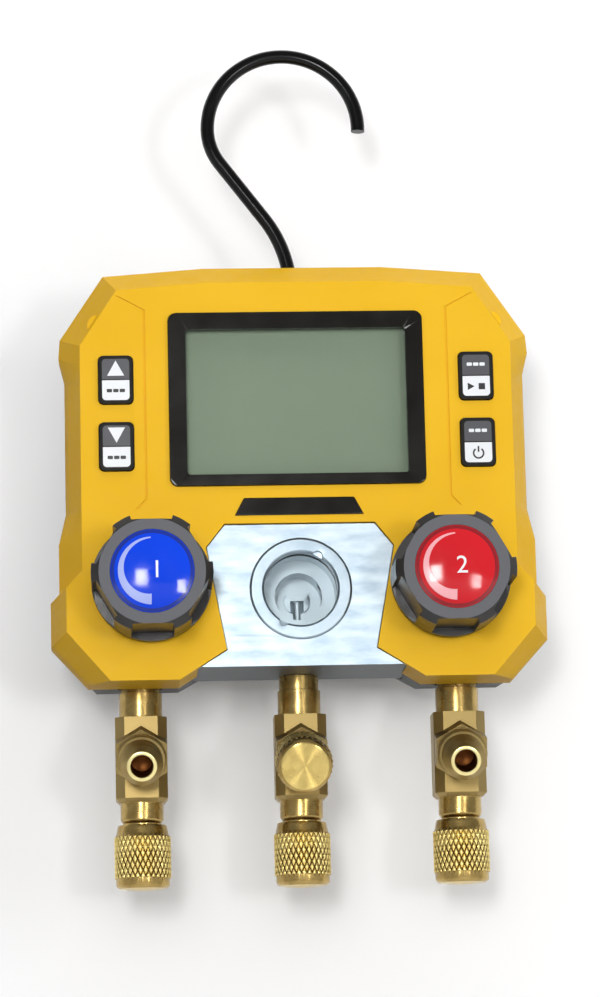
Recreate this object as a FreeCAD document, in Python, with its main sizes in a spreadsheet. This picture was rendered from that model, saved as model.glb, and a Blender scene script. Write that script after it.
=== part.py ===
"""Refrigerant manifold gauge with two hand valves, a sight glass, three hose ports and a digital display.

The origin lies on the flat rest face of the rear cover, straight behind the middle of the sight glass.
+Z points up as the gauge hangs on its hook and the display faces -Y, so a depth measured from the rest
face towards the display is a distance along -Y. Lengths are in millimetres.
"""
import FreeCAD, Part
import math
import os

import Sketcher

Vector = FreeCAD.Vector

# Driving dimensions: name, value, meaning
DIMENSIONS = [
    ("case_depth", 34.0, "rest face to the face of the front shell"),
    ("parting_depth", 16.0, "rest face to the parting plane of the two shells"),
    ("band_depth", 11.0, "depth of the drafted band round the face"),
    ("wall", 2.4, "side walls of both shells"),
    ("face_wall", 2.6, "thickness of the front face"),
    ("panel_half", 40.0, "half width of the panel that the face's fine grooves mark off"),
    ("panel_top", 75.0, "where the panel grooves turn out to the top corners"),
    ("panel_foot", 24.0, "where the panel grooves turn out at the bottom"),
    ("back_wall", 3.7, "thickness of the rear cover behind the block"),
    ("crown_half", 24.0, "half length of the level part of the top edge"),
    ("face_top", 82.2, "top edge of the face"),
    ("face_corner_x", 47.2, "top corner of the face, sideways"),
    ("face_corner_z", 80.4, "top corner of the face, height"),
    ("face_shoulder_z", 65.4, "lower end of the face's corner cut"),
    ("face_half", 57.0, "half width of the face above the lobes"),
    ("face_lobe_top", 5.5, "where the face starts to widen to the lobe"),
    ("face_lobe_half", 61.2, "half width of the face at the lobes"),
    ("face_lobe_shoulder", 1.0, "top of the lobe's straight side on the face"),
    ("face_lobe_corner", -10.7, "bottom of the lobe's straight side on the face"),
    ("lobe_floor_outer", 50.0, "outer end of the lobe's bottom edge"),
    ("lobe_floor_inner", 32.0, "inner end of the lobe's bottom edge"),
    ("lobe_floor", -23.6, "bottom edge of the lobes"),
    ("rim_top", 88.8, "top of the case"),
    ("rim_corner_x", 50.8, "top corner of the case, sideways"),
    ("rim_corner_z", 86.8, "top corner of the case, height"),
    ("rim_shoulder_half", 62.4, "half width at the lower end of the corner cut"),
    ("rim_shoulder_z", 69.4, "lower end of the corner cut"),
    ("bulge_half", 62.8, "half width at the shoulder bulge"),
    ("bulge_z", 64.5, "lower end of the shoulder bulge"),
    ("rim_half", 61.3, "half width of the case above the lobes"),
    ("side_top_z", 58.5, "top of the straight side"),
    ("side_foot_z", 22.0, "bottom of the straight side"),
    ("flare_half", 63.2, "half width at the flare over the lobe"),
    ("flare_top_z", 13.8, "where the flare is full"),
    ("flare_foot_z", 1.0, "where the flare steps out to the lobe"),
    ("lobe_half", 65.5, "half width of the case at the lobes"),
    ("lobe_top_z", -1.6, "top of the lobe's side"),
    ("lobe_corner_z", -13.2, "bottom of the lobe's side"),
    ("rim_floor_outer", 56.0, "outer end of the lobe's bottom at the rim"),
    ("window_foot_half", 19.7, "half width of the window at its waist"),
    ("window_foot_z", -15.8, "height of the window's waist"),
    ("window_side_half", 24.7, "half width of the window at its widest"),
    ("window_side_z", 11.1, "height of the window's widest point"),
    ("window_top_half", 19.8, "half width of the window's top edge"),
    ("window_top_z", 17.3, "top edge of the window"),
    ("rest_inset", 4.2, "how far the rest face is drawn in from the rim"),
    ("cover_step", 0.8, "step from the front shell in to the rear cover"),
    ("cover_gap", 0.15, "joint between the two shells"),
    ("saddle_half", 21.5, "half width of the raised middle of the cover's bottom edge"),
    ("saddle_z", -17.0, "height of the raised middle of the cover's bottom edge"),
    ("seat_gap", 0.3, "free space round pieces that drop into the case"),
    ("slip_gap", 0.2, "free space round sliding pieces"),
    ("turn_gap", 0.06, "radial running fit of turning pieces"),
    ("block_margin", 12.6, "side wall of the lobe to the end of the manifold block"),
    ("block_cut", 3.0, "cut of the block's lower corners"),
    ("block_top", 20.0, "top of the manifold block"),
    ("block_foot", -20.3, "underside of the manifold block"),
    ("block_land", 33.0, "depth of the block's visible land"),
    ("sight_ring_radius", 13.4, "outer radius of the sight glass ring"),
    ("sight_hole_radius", 9.7, "clear radius of the sight glass ring"),
    ("sight_ring_height", 4.1, "length of the sight glass ring"),
    ("sight_ring_proud", 0.4, "how far the ring stands out of the land"),
    ("glass_radius", 11.8, "radius of the sight glass"),
    ("glass_thickness", 3.2, "thickness of the sight glass"),
    ("sight_floor_depth", 18.0, "depth of the floor of the sight chamber"),
    ("seal_height", 0.9, "height of the flat seals"),
    ("valve_margin", 26.5, "side of the lobe to the valve axis"),
    ("valve_z", 1.8, "valve axis, height"),
    ("valve_bore", 4.0, "radius of the valve bore"),
    ("valve_seat_depth", 12.0, "depth of the valve seat"),
    ("bonnet_radius", 7.9, "radius of the bonnet's threaded shank"),
    ("bonnet_foot_depth", 20.2, "depth of the bonnet's inner end"),
    ("bonnet_hex", 17.0, "across flats of the bonnet"),
    ("bonnet_head", 3.2, "height of the bonnet's hexagon"),
    ("bonnet_hole_radius", 10.4, "hole in the front shell round the bonnet"),
    ("stem_radius", 3.0, "radius of the valve stem"),
    ("plunger_radius", 3.7, "radius of the seat disc"),
    ("plunger_height", 2.2, "height of the seat disc"),
    ("knob_gap", 1.0, "shell face to the knob's underside when shut"),
    ("knob_height", 19.4, "height of the knob"),
    ("knob_radius", 15.7, "outer radius of the knob"),
    ("knob_face_radius", 13.7, "radius of the knob's top face"),
    ("knob_skirt", 2.6, "height of the unbroken skirt"),
    ("knob_chamfer", 1.9, "height of the lugs' chamfer"),
    ("knob_grip_radius", 13.5, "radius of the floor of the finger recesses"),
    ("knob_lug_half", 2.6, "half width of a lug"),
    ("knob_cap_radius", 10.8, "radius of the recess for the insert"),
    ("knob_cap_depth", 2.4, "depth of the recess for the insert"),
    ("knob_hub_radius", 5.6, "radius of the hub under the knob"),
    ("knob_web", 13.4, "underside to the knob's web"),
    ("insert_crown", 1.5, "how far the insert is domed"),
    ("display_z", 50.65, "middle of the display, height"),
    ("bezel_width", 67.2, "width of the bezel"),
    ("bezel_height", 46.5, "height of the bezel"),
    ("bezel_corner", 2.2, "corner radius of the bezel"),
    ("bezel_proud", 0.8, "how far the bezel stands out of the face"),
    ("view_width", 58.2, "width of the display opening"),
    ("view_height", 39.1, "height of the display opening"),
    ("view_shift", -0.8, "display opening below the middle of the bezel"),
    ("lens_thickness", 1.3, "thickness of the lens"),
    ("lens_depth", 30.9, "depth of the lens's inner face"),
    ("board_depth", 24.6, "depth of the board's rear face"),
    ("board_thickness", 1.6, "thickness of the board"),
    ("board_margin", 8.9, "side wall of the case to the end of the board"),
    ("board_foot", 24.5, "lower edge of the board"),
    ("board_top", 77.5, "upper edge of the board"),
    ("button_x", 47.6, "middle of the buttons, sideways"),
    ("button_upper_z", 56.05, "middle of the upper buttons"),
    ("button_lower_z", 38.15, "middle of the lower buttons"),
    ("button_width", 9.0, "width of a button"),
    ("button_height", 12.9, "height of a button"),
    ("button_corner", 1.5, "corner radius of a button"),
    ("button_proud", 0.9, "how far a button stands out of the face"),
    ("button_travel", 0.7, "travel of a button"),
    ("mat_thickness", 1.0, "thickness of the key mat"),
    ("port_margin", 23.3, "side of the lobe to the outer port axis"),
    ("port_depth", 10.0, "depth of the port axes"),
    ("tee_stem_radius", 5.25, "radius of the tee's stem in the case"),
    ("tee_neck_radius", 5.7, "radius of the tee's stem and neck outside the case"),
    ("tee_spigot_radius", 4.9, "radius of the tee's spigot in the block"),
    ("tee_spigot", 8.0, "length of the spigot in the block"),
    ("tee_top", -30.9, "top of the tee's body"),
    ("tee_foot", -53.4, "bottom of the tee's body"),
    ("tee_width", 13.7, "width of the tee's body"),
    ("branch_z", -39.5, "where the branch axis leaves the port axis"),
    ("branch_tilt", 17.0, "degrees that the branch points down"),
    ("branch_hex", 13.4, "across flats of the branch"),
    ("branch_hex_end", 9.9, "port axis to the end of the branch's hexagon"),
    ("branch_bore", 4.4, "radius of the branch's threaded socket"),
    ("collar_end", 12.2, "port axis to the end of the stud's collar"),
    ("thread_end", 18.9, "port axis to the end of the stud's thread"),
    ("nose_end", 21.0, "port axis to the end of the flare nose"),
    ("thread_radius", 5.56, "radius of the hose threads"),
    ("nose_radius", 4.1, "outer radius of the flare nose"),
    ("nose_bore", 3.1, "radius of the bore in the nose"),
    ("port_thread_top", -60.2, "top of the tee's lower thread"),
    ("port_thread_foot", -71.2, "end of the tee's lower thread"),
    ("cap_top", -59.3, "open end of the bottom caps"),
    ("cap_foot", -75.9, "closed end of the bottom caps"),
    ("cap_radius", 7.45, "radius of the caps over the knurl"),
    ("cap_collar_radius", 6.5, "radius of the caps at the open end"),
    ("cap_bore", 5.95, "radius inside the caps"),
    ("cap_floor", 2.2, "thickness of a cap's closed end"),
    ("charge_cap_end", 24.6, "port axis to the closed end of the front cap"),
    ("charge_cap_mouth", 12.6, "port axis to the open end of the front cap"),
    ("wire_radius", 1.85, "radius of the hook's wire"),
    ("hook_loop", 20.55, "radius of the hook's bow"),
    ("hook_cheek", 16.0, "radius of the hook's closed side"),
    ("hook_bend", 34.0, "radius of the hook's lower bend"),
    ("hook_swivel_z", 84.0, "top of the straight shank"),
    ("hook_reach", 19.5, "length of the straight run of the hook"),
    ("hook_shank", 10.5, "length of the straight shank in the case"),
    ("bush_radius", 4.4, "radius of the hook's bush"),
    ("bush_height", 6.4, "height of the hook's bush"),
    ("screw_radius", 1.25, "radius of the shell screws"),
    ("screw_head", 2.6, "radius of the shell screws' heads"),
    ("boss_radius", 3.1, "radius of the screw bosses"),
    ("cell_radius", 5.25, "radius of a battery cell"),
    ("contact_room", 4.2, "end of a cell to the wall of the battery bay"),
    ("cell_pitch", 11.2, "distance between battery cells"),
    ("bay_middle", 52.0, "middle of the battery bay, height"),
    ("bay_half", 26.2, "half width of the battery bay"),
    ("bay_half_height", 17.6, "half height of the battery bay"),
    ("bay_depth", 14.2, "depth of the bay's floor"),
    ("door_thickness", 1.8, "thickness of the battery door"),
    ("door_sink", 0.3, "how far the door lies below the rest face"),
    ("door_ledge", 3.0, "ledge that the door rests on"),
    ("pin_radius", 0.85, "radius of the door's pegs"),
    ("pin_length", 1.8, "length of the door's pegs"),
    ("sensor_radius", 5.0, "radius of the pressure sensors"),
    ("well_radius", 6.3, "radius of the well in the sight chamber's floor"),
    ("well_depth", 8.5, "depth of the well's floor"),
    ("stub_radius", 3.5, "radius of the stub in the well"),
    ("stub_height", 1.7, "height of the stub in the well"),
    ("notch_radius", 1.3, "radius of the ring's spanner notches"),
    ("notch_depth", 1.6, "depth of the ring's spanner notches"),
    ("passage_radius", 2.0, "radius of the drilled gas passages"),
    ("seal_radius", 4.4, "outer radius of the gland seals"),
    ("knob_wall", 4.6, "skirt's thickness down to its hollow underside"),
    ("port_nose", -72.3, "tip of the tee's lower flare nose"),
    ("port_bore", 2.4, "radius of the tee's bore"),
    ("core_radius", 2.5, "radius of the valve core"),
    ("cap_collar", 2.9, "length of a cap's tapered collar"),
    ("clip_height", 0.8, "thickness of the hook's retaining clip"),
    ("clip_bore", 1.3, "radius of the hook's clip groove"),
    ("sensor_thread", 4.0, "radius of the sensors' threads"),
    ("sensor_height", 11.0, "height of a sensor over the block"),
]

# Parallel flats of a regular hexagon one apart have corners this far from the middle
HEX_CORNER = 1 / math.sqrt(3)
UPRIGHT = FreeCAD.Rotation()
FRONT = FreeCAD.Rotation(Vector(1, 0, 0), 90)
SWIVEL_AXIS = Vector(1, 0, 0)

# Small fixed sizes in millimetres, and turns in degrees where the name says so
SMALL_CHAMFER = 0.5
BUSH_PLAY = 0.05
HOOK_PLAY = 1.15
PEG_MARGIN = 0.35
BAY_WALL = 1.6
WELL_DEPTH = 2.6
BLOCK_SCREW_REACH = 9
BLOCK_SCREW_SIDE = 28.5
BLOCK_SCREW_TOP = 7
BLOCK_SCREW_FOOT = 9
BOARD_SCREW_SIDE = 10.4
BOARD_SCREW_EDGE = 3.2
SENSOR_SOCKET = 7
KNOB_SCREW_RADIUS = 1.5
KNOB_SCREW_REACH = 7
KNOB_SCREW_HEAD = 1.7
FLANGE = 1.2
LENS_LAP = 1.0
BOARD_SCREW_RADIUS = 1.1
BOARD_POST_RADIUS = 2.6
DOME_RADIUS = 2.8
DOME_TAPER = 20
STUB = 0.3
GROOVE_WIDTH = 0.6
GROOVE_DEPTH = 0.4
GROOVE_FOOT = 2.5
PORT_CLEARING = 8
THREAD_BITE = 0.15
SCREW_HEAD_HEIGHT = 1.8
BOARD_SCREW_HEAD = 1.2
BOARD_SCREW_REACH = 4
TEE_FACET = 2.4
TEE_RIM = 0.15
CONTACT = 0.5
NOTCH_TURN = math.radians(62)
HOOK_SLOPE = (0.6, 0.8)
HOOK_TIP = 2.5

# How far each screw boss of the case lies in from the rest face's edge, and over the corner it belongs to
BOSS_SHIFTS = ((4.1, 6.5), (1.1, 4.5), (1.5, -6))


class Size:
    """A length that carries its number and the sheet expression that gives it."""

    def __init__(self, value, text):
        self.value = value
        self.text = text

    def joined(self, sign, other, value):
        """The sum, difference, product or quotient of this size and another."""
        return Size(value, f"({self.text} {sign} {other.text})")

    def __add__(self, other):
        other = as_size(other)
        return self.joined("+", other, self.value + other.value)

    def __radd__(self, other):
        return as_size(other) + self

    def __sub__(self, other):
        other = as_size(other)
        return self.joined("-", other, self.value - other.value)

    def __rsub__(self, other):
        return as_size(other) - self

    def __mul__(self, other):
        other = as_size(other)
        return self.joined("*", other, self.value * other.value)

    def __rmul__(self, other):
        return as_size(other) * self

    def __truediv__(self, other):
        other = as_size(other)
        return self.joined("/", other, self.value / other.value)

    def __neg__(self):
        return Size(-self.value, f"(0 - {self.text})")


def as_size(value):
    """A plain number as a Size; a Size stays as it is."""
    if isinstance(value, Size):
        return value
    number = float(value)
    text = f"{number:.6f}" if number >= 0 else f"(0 - {-number:.6f})"
    return Size(number, text)


class Dimensions:
    """The driving dimensions, each one an attribute by its name in the sheet."""

    def __init__(self, rows):
        for name, value, _ in rows:
            setattr(self, name, Size(value, f"Sizes.{name}"))


S = Dimensions(DIMENSIONS)

# Sizes that follow from the driving ones: half lengths and places measured from the middle
BLOCK_HALF = S.lobe_half - S.wall - S.block_margin
BOARD_HALF = S.rim_half - S.wall - S.board_margin
VALVE_X = S.lobe_half - S.valve_margin
PORT_SPACING = S.lobe_half - S.port_margin
CELL_LENGTH = (S.bay_half - S.contact_room) * 2

# Middles of the block's and the board's screws on the right side, as (sideways, height)
BLOCK_SCREWS = [
    (BLOCK_HALF - BLOCK_SCREW_SIDE, S.block_top - BLOCK_SCREW_TOP),
    (BLOCK_HALF - BLOCK_SCREW_SIDE, S.block_foot + BLOCK_SCREW_FOOT),
]
BOARD_SCREWS = [
    (BOARD_HALF - BOARD_SCREW_SIDE, S.board_foot + BOARD_SCREW_EDGE),
    (BOARD_HALF - BOARD_SCREW_SIDE, S.board_top - BOARD_SCREW_EDGE),
]

doc = FreeCAD.newDocument("manifold_gauge")
nodes = []


def make_sheet():
    """Keep the driving dimensions in a spreadsheet with an alias for each."""
    sheet = doc.addObject("Spreadsheet::Sheet", "Sizes")
    for row, (name, value, note) in enumerate(DIMENSIONS, start=1):
        sheet.set(f"A{row}", name)
        sheet.set(f"B{row}", str(value))
        sheet.set(f"C{row}", note)
        sheet.setAlias(f"B{row}", name)
    doc.recompute()


def place(item, x, depth, z, turn):
    """Turn a piece and bind its place, given as sideways, depth from the rest face and height."""
    item.Placement = FreeCAD.Placement(Vector(), turn)
    for axis, size in zip("xyz", (as_size(x), -as_size(depth), as_size(z))):
        item.setExpression(f"Placement.Base.{axis}", size.text)


def new_body(label, x=0, depth=0, z=0, turn=UPRIGHT):
    """Start a sub-part whose own origin lies at the given place."""
    body = doc.addObject("PartDesign::Body", label)
    body.Label = label
    place(body, x, depth, z, turn)
    nodes.append(body)
    return body


def new_sketch(body, plane="XY_Plane", lift=0):
    """A sketch on one of the body's own planes, lifted along that plane's normal."""
    sketch = body.newObject("Sketcher::SketchObject", f"{body.Label}_sketch")
    support = next(item for item in body.Origin.OriginFeatures if item.Role == plane)
    sketch.AttachmentSupport = [(support, "")]
    sketch.MapMode = "FlatFace"
    sketch.setExpression("AttachmentOffset.Base.z", as_size(lift).text)
    return sketch


def arc_between(start, end, radius):
    """The shorter arc between two points: counter-clockwise for a positive radius, else clockwise."""
    chord = end - start
    side = Vector(-chord.y, chord.x, 0).normalize() * (1 if radius > 0 else -1)
    rise = math.sqrt(max(radius * radius - chord.Length ** 2 / 4, 0))
    centre = (start + end) * 0.5 + side * rise
    first, last = (start, end) if radius > 0 else (end, start)
    angles = [math.atan2(point.y - centre.y, point.x - centre.x) for point in (first, last)]
    if angles[1] < angles[0]:
        angles[1] += 2 * math.pi
    return Part.ArcOfCircle(Part.Circle(centre, Vector(0, 0, 1), abs(radius)), *angles)


def add_loop(sketch, corners):
    """Draw a closed loop whose corners are bound to sizes.

    A corner is (x, y), or (x, y, radius) where an arc of that radius runs on to the next corner."""
    corners = [tuple(as_size(part) for part in corner) for corner in corners]
    points = [Vector(corner[0].value, corner[1].value, 0) for corner in corners]
    shapes = []
    for index, corner in enumerate(corners):
        end = points[(index + 1) % len(points)]
        if len(corner) == 3:
            shapes.append(arc_between(points[index], end, corner[2].value))
        else:
            shapes.append(Part.LineSegment(points[index], end))
    first = sketch.GeometryCount
    sketch.addGeometry(shapes, False)
    ends = []
    for index, corner in enumerate(corners):
        clockwise = len(corner) == 3 and corner[2].value < 0
        ends.append((first + index, 2, 1) if clockwise else (first + index, 1, 2))
    rules = []
    bound = []
    for index, corner in enumerate(corners):
        edge, start, end = ends[index]
        following = ends[(index + 1) % len(ends)]
        rules.append(Sketcher.Constraint("Coincident", edge, end, following[0], following[1]))
        for kind, size in zip(("DistanceX", "DistanceY"), corner[:2]):
            bound.append((len(rules), size))
            rules.append(Sketcher.Constraint(kind, -1, 1, edge, start, size.value))
        if len(corner) == 3:
            size = corner[2] if corner[2].value > 0 else -corner[2]
            bound.append((len(rules), size))
            rules.append(Sketcher.Constraint("Radius", edge, size.value))
    offset = sketch.ConstraintCount
    sketch.addConstraint(rules)
    for index, size in bound:
        sketch.setExpression(f"Constraints[{offset + index}]", size.text)


def add_circle(sketch, x, y, radius):
    """Draw a circle with bound centre and radius."""
    x, y, radius = as_size(x), as_size(y), as_size(radius)
    circle = Part.Circle(Vector(x.value, y.value, 0), Vector(0, 0, 1), radius.value)
    index = sketch.addGeometry(circle, False)
    offset = sketch.ConstraintCount
    sketch.addConstraint([
        Sketcher.Constraint("DistanceX", -1, 1, index, 3, x.value),
        Sketcher.Constraint("DistanceY", -1, 1, index, 3, y.value),
        Sketcher.Constraint("Radius", index, radius.value),
    ])
    for step, size in enumerate((x, y, radius)):
        sketch.setExpression(f"Constraints[{offset + step}]", size.text)


def rectangle(x, y, width, height, corner=None):
    """Corners of an upright rectangle about a middle, rounded where a corner radius is given."""
    left, right = x - width / 2, x + width / 2
    low, high = y - height / 2, y + height / 2
    if corner is None:
        return [(left, low), (right, low), (right, high), (left, high)]
    return [
        (left + corner, low), (right - corner, low, corner),
        (right, low + corner), (right, high - corner, corner),
        (right - corner, high), (left + corner, high, corner),
        (left, high - corner), (left, low + corner, corner),
    ]


def hexagon(across):
    """Corners of a hexagon from its size across flats, one of them at the top."""
    reach = across * HEX_CORNER
    turns = [math.radians(90 + 60 * step) for step in range(6)]
    return [(reach * round(math.cos(turn), 9), reach * round(math.sin(turn), 9)) for turn in turns]


def pad(body, sketch, length):
    """Extrude a sketch along its normal."""
    feature = body.newObject("PartDesign::Pad", f"{body.Label}_pad")
    feature.Profile = sketch
    feature.setExpression("Length", as_size(length).text)
    doc.recompute()
    return feature


def cut_down(body, sketch, length):
    """Cut a sketch into the solid against its normal, and make sure that it took something away."""
    before = body.Shape.Volume
    feature = body.newObject("PartDesign::Pocket", f"{body.Label}_pocket")
    feature.Profile = sketch
    feature.setExpression("Length", as_size(length).text)
    doc.recompute()
    require_loss(body, before)
    return feature


def require_loss(body, before):
    """Stop if the last cut left the solid as it was."""
    if not body.Shape.Volume < before - 1e-3:
        raise RuntimeError(f"a cut in {body.Label} took nothing away")


def revolve(body, corners):
    """Turn a closed profile of (radius, height) corners about the body's own Z axis."""
    sketch = new_sketch(body, "XZ_Plane")
    add_loop(sketch, corners)
    feature = body.newObject("PartDesign::Revolution", f"{body.Label}_turned")
    feature.Profile = sketch
    feature.ReferenceAxis = (sketch, ["V_Axis"])
    feature.Angle = 360
    doc.recompute()


def groove(body, corners):
    """Turn a closed profile of (radius, height) corners out of the solid."""
    before = body.Shape.Volume
    sketch = new_sketch(body, "XZ_Plane")
    add_loop(sketch, corners)
    feature = body.newObject("PartDesign::Groove", f"{body.Label}_groove")
    feature.Profile = sketch
    feature.ReferenceAxis = (sketch, ["V_Axis"])
    feature.Angle = 360
    doc.recompute()
    require_loss(body, before)


def loft(body, lower, upper, kind="AdditiveLoft"):
    """Join two sketches with straight-ruled walls."""
    before = body.Shape.Volume if kind == "SubtractiveLoft" else None
    feature = body.newObject(f"PartDesign::{kind}", f"{body.Label}_loft")
    feature.Profile = lower
    feature.Sections = [upper]
    feature.Ruled = True
    doc.recompute()
    if before is not None:
        require_loss(body, before)


def turned(label, corners, **where):
    """A sub-part that is one turned solid."""
    body = new_body(label, **where)
    revolve(body, corners)
    return body


def hole(body, x, y, radius, top, length, plane="XY_Plane"):
    """Bore a round hole down from a height."""
    sketch = new_sketch(body, plane, top)
    add_circle(sketch, x, y, radius)
    return cut_down(body, sketch, length)


def mirrored(half):
    """The whole outline from its right half, listed from the top down."""
    return half + [(-x, z) for x, z in reversed(half)]


def face_half():
    """Right half of the face's outline, from the crown down to the lobe's inner end."""
    return [
        (S.crown_half, S.face_top),
        (S.face_corner_x, S.face_corner_z),
        (S.face_half, S.face_shoulder_z),
        (S.face_half, S.bulge_z - (S.rim_shoulder_z - S.face_shoulder_z)),
        (S.face_half, S.side_top_z - (S.rim_shoulder_z - S.face_shoulder_z)),
        (S.face_half, S.side_foot_z),
        (S.face_half, S.flare_top_z),
        (S.face_half, S.face_lobe_top),
        (S.face_lobe_half, S.face_lobe_shoulder),
        (S.face_lobe_half, S.face_lobe_corner),
        (S.lobe_floor_outer, S.lobe_floor),
        (S.lobe_floor_inner, S.lobe_floor),
    ]


def rim_half():
    """Right half of the case's largest outline, corner for corner with the face."""
    return [
        (S.crown_half, S.rim_top),
        (S.rim_corner_x, S.rim_corner_z),
        (S.rim_shoulder_half, S.rim_shoulder_z),
        (S.bulge_half, S.bulge_z),
        (S.rim_half, S.side_top_z),
        (S.rim_half, S.side_foot_z),
        (S.flare_half, S.flare_top_z),
        (S.flare_half, S.flare_foot_z),
        (S.lobe_half, S.lobe_top_z),
        (S.lobe_half, S.lobe_corner_z),
        (S.rim_floor_outer, S.lobe_floor),
        (S.lobe_floor_inner, S.lobe_floor),
    ]


# Direction in which each corner of a half outline moves when the outline is drawn in by one
INWARD = [
    (0, -1), (-0.57, -0.96), (-1, -0.29), (-1, 0.05), (-1, 0.1), (-1, 0), (-1, 0), (-1, -0.42),
    (-1, -0.42), (-1, 0.38), (-0.45, 1), (0, 1),
]


def drawn_in(half, amount):
    """A half outline moved inwards by an amount."""
    return [(x + amount * a, z + amount * b) for (x, z), (a, b) in zip(half, INWARD)]


def window_half(gap=0):
    """Right half of the window between the lobes, from the foot of its waist to its top edge."""
    return [
        (S.window_foot_half - gap, S.window_foot_z - gap / 2),
        (S.window_side_half - gap, S.window_side_z),
        (S.window_top_half - gap / 2, S.window_top_z - gap),
    ]


def cavity_half(half):
    """Right half of a shell's inside: its outline drawn in by the wall, with a floor under the block."""
    inside = drawn_in(half, S.wall)
    floor = S.block_foot - S.seat_gap
    slope_x, slope_z = inside[9]
    return inside[:9] + [(slope_x, slope_z), (inside[10][0], floor)]


def boss_places():
    """Screw bosses of the case on the right side, as (sideways, height)."""
    beside = ((S.bulge_half, S.bulge_z), (S.rim_half, S.side_foot_z), (S.lobe_half, S.lobe_top_z))
    edge = S.rest_inset + S.screw_head
    return [(x - edge - inset, z + lift) for (x, z), (inset, lift) in zip(beside, BOSS_SHIFTS)]


def both_sides(places):
    """Places on the right side with their mirror images."""
    return [(side * x, z) for side in (1, -1) for x, z in places]


def make_front_shell():
    """Yellow moulded half with a drafted band, two lobes and a window over the block."""
    body = new_body("front_shell", turn=FRONT)
    band_foot = S.case_depth - S.band_depth
    rim = mirrored(rim_half() + window_half())
    rear = new_sketch(body, lift=S.parting_depth)
    add_loop(rear, rim)
    pad(body, rear, band_foot - S.parting_depth)
    lower = new_sketch(body, lift=band_foot)
    add_loop(lower, rim)
    upper = new_sketch(body, lift=S.case_depth)
    add_loop(upper, mirrored(face_half() + window_half()))
    loft(body, lower, upper)
    hollow_front_shell(body, band_foot)
    pierce_front_shell(body)
    panels = new_sketch(body, lift=S.case_depth)
    for side in (1, -1):
        add_loop(panels, panel_groove(side))
    cut_down(body, panels, GROOVE_DEPTH)


def panel_groove(side):
    """Outline of the fine groove beside the display, from a top corner of the face down."""
    near = GROOVE_WIDTH / 2
    line = [
        (S.face_corner_x, S.face_corner_z - SMALL_CHAMFER * 3), (S.panel_half, S.panel_top),
        (S.panel_half, S.panel_foot), (S.panel_half + GROOVE_FOOT, S.panel_foot - GROOVE_FOOT),
    ]
    inner = [(side * (x - near), z) for x, z in line]
    outer = [(side * (x + near), z) for x, z in reversed(line)]
    return inner + outer


def hollow_front_shell(body, band_foot):
    """Take out the inside of the front shell, then put the screw bosses back."""
    mouth = new_sketch(body, lift=band_foot)
    add_loop(mouth, mirrored(cavity_half(rim_half())))
    cut_down(body, mouth, band_foot - S.parting_depth)
    inner_face = S.case_depth - S.face_wall
    lower = new_sketch(body, lift=band_foot)
    add_loop(lower, mirrored(cavity_half(rim_half())))
    upper = new_sketch(body, lift=inner_face)
    add_loop(upper, mirrored(cavity_half(face_half())))
    loft(body, lower, upper, "SubtractiveLoft")
    bosses = new_sketch(body, lift=S.parting_depth)
    for x, z in both_sides(boss_places()):
        add_circle(bosses, x, z, S.boss_radius)
    pad(body, bosses, inner_face - S.parting_depth + S.face_wall / 2)
    board_face = S.board_depth + S.board_thickness
    posts = new_sketch(body, lift=board_face)
    for x, z in both_sides(BOARD_SCREWS):
        add_circle(posts, x, z, BOARD_POST_RADIUS)
    pad(body, posts, inner_face - board_face + S.face_wall / 2)
    pilots = new_sketch(body, lift=inner_face)
    for x, z in both_sides(BOARD_SCREWS):
        add_circle(pilots, x, z, BOARD_SCREW_RADIUS)
    cut_down(body, pilots, inner_face - board_face)
    bracket = new_sketch(body, lift=S.parting_depth)
    add_loop(bracket, bracket_outline(S.rim_top - S.wall / 2))
    pad(body, bracket, S.bush_radius + S.wall)
    holes = new_sketch(body, lift=inner_face - 1)
    for x, z in both_sides(boss_places()):
        add_circle(holes, x, z, S.screw_radius - THREAD_BITE)
    cut_down(body, holes, inner_face - 1 - S.parting_depth)


def pierce_front_shell(body):
    """Openings for the display, the buttons, the valves and the hook's shank."""
    openings = new_sketch(body, lift=S.case_depth)
    width = S.bezel_width + S.cover_gap * 2
    height = S.bezel_height + S.cover_gap * 2
    add_loop(openings, rectangle(as_size(0), S.display_z, width, height, S.bezel_corner))
    for side in (1, -1):
        for z in (S.button_upper_z, S.button_lower_z):
            width = S.button_width + S.slip_gap * 2
            height = S.button_height + S.slip_gap * 2
            add_loop(openings, rectangle(side * S.button_x, z, width, height, S.button_corner))
        add_circle(openings, side * VALVE_X, S.valve_z, S.bonnet_hole_radius)
    cut_down(body, openings, S.face_wall)
    seat_hook_bush(body)


def seat_hook_bush(body):
    """Bore the seat of the hook's bush and the hole above it, half in each shell."""
    seat = new_sketch(body, "XZ_Plane", -(bush_foot() - BUSH_PLAY))
    add_circle(seat, 0, S.parting_depth, S.bush_radius + BUSH_PLAY)
    cut_down(body, seat, S.bush_height + BUSH_PLAY * 2)
    mouth = new_sketch(body, "XZ_Plane", -(bush_foot() - S.bush_height))
    add_circle(mouth, 0, S.parting_depth, S.wire_radius + HOOK_PLAY)
    cut_down(body, mouth, S.rim_top - bush_foot() + S.bush_height * 2)


def bush_foot():
    """Height of the lower end of the hook's bush."""
    return S.hook_swivel_z - S.bush_height


def rest_half():
    """Right half of the rest face's outline; the bottom edge isn't drafted."""
    sides = drawn_in(rim_half(), S.rest_inset)[:10]
    floor = S.lobe_floor + S.cover_step
    return sides + [(S.rim_floor_outer - S.rest_inset / 2, floor), (S.lobe_floor_inner, floor)]


def door_size():
    """Width and height of the battery door."""
    return (S.bay_half + S.door_ledge) * 2, (S.bay_half_height + S.door_ledge) * 2


def peg_place():
    """Depth and height of the door's peg axis."""
    height = S.bay_middle - S.bay_half_height - S.door_ledge + S.pin_radius + PEG_MARGIN
    return S.door_sink + S.door_thickness / 2, height


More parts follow.
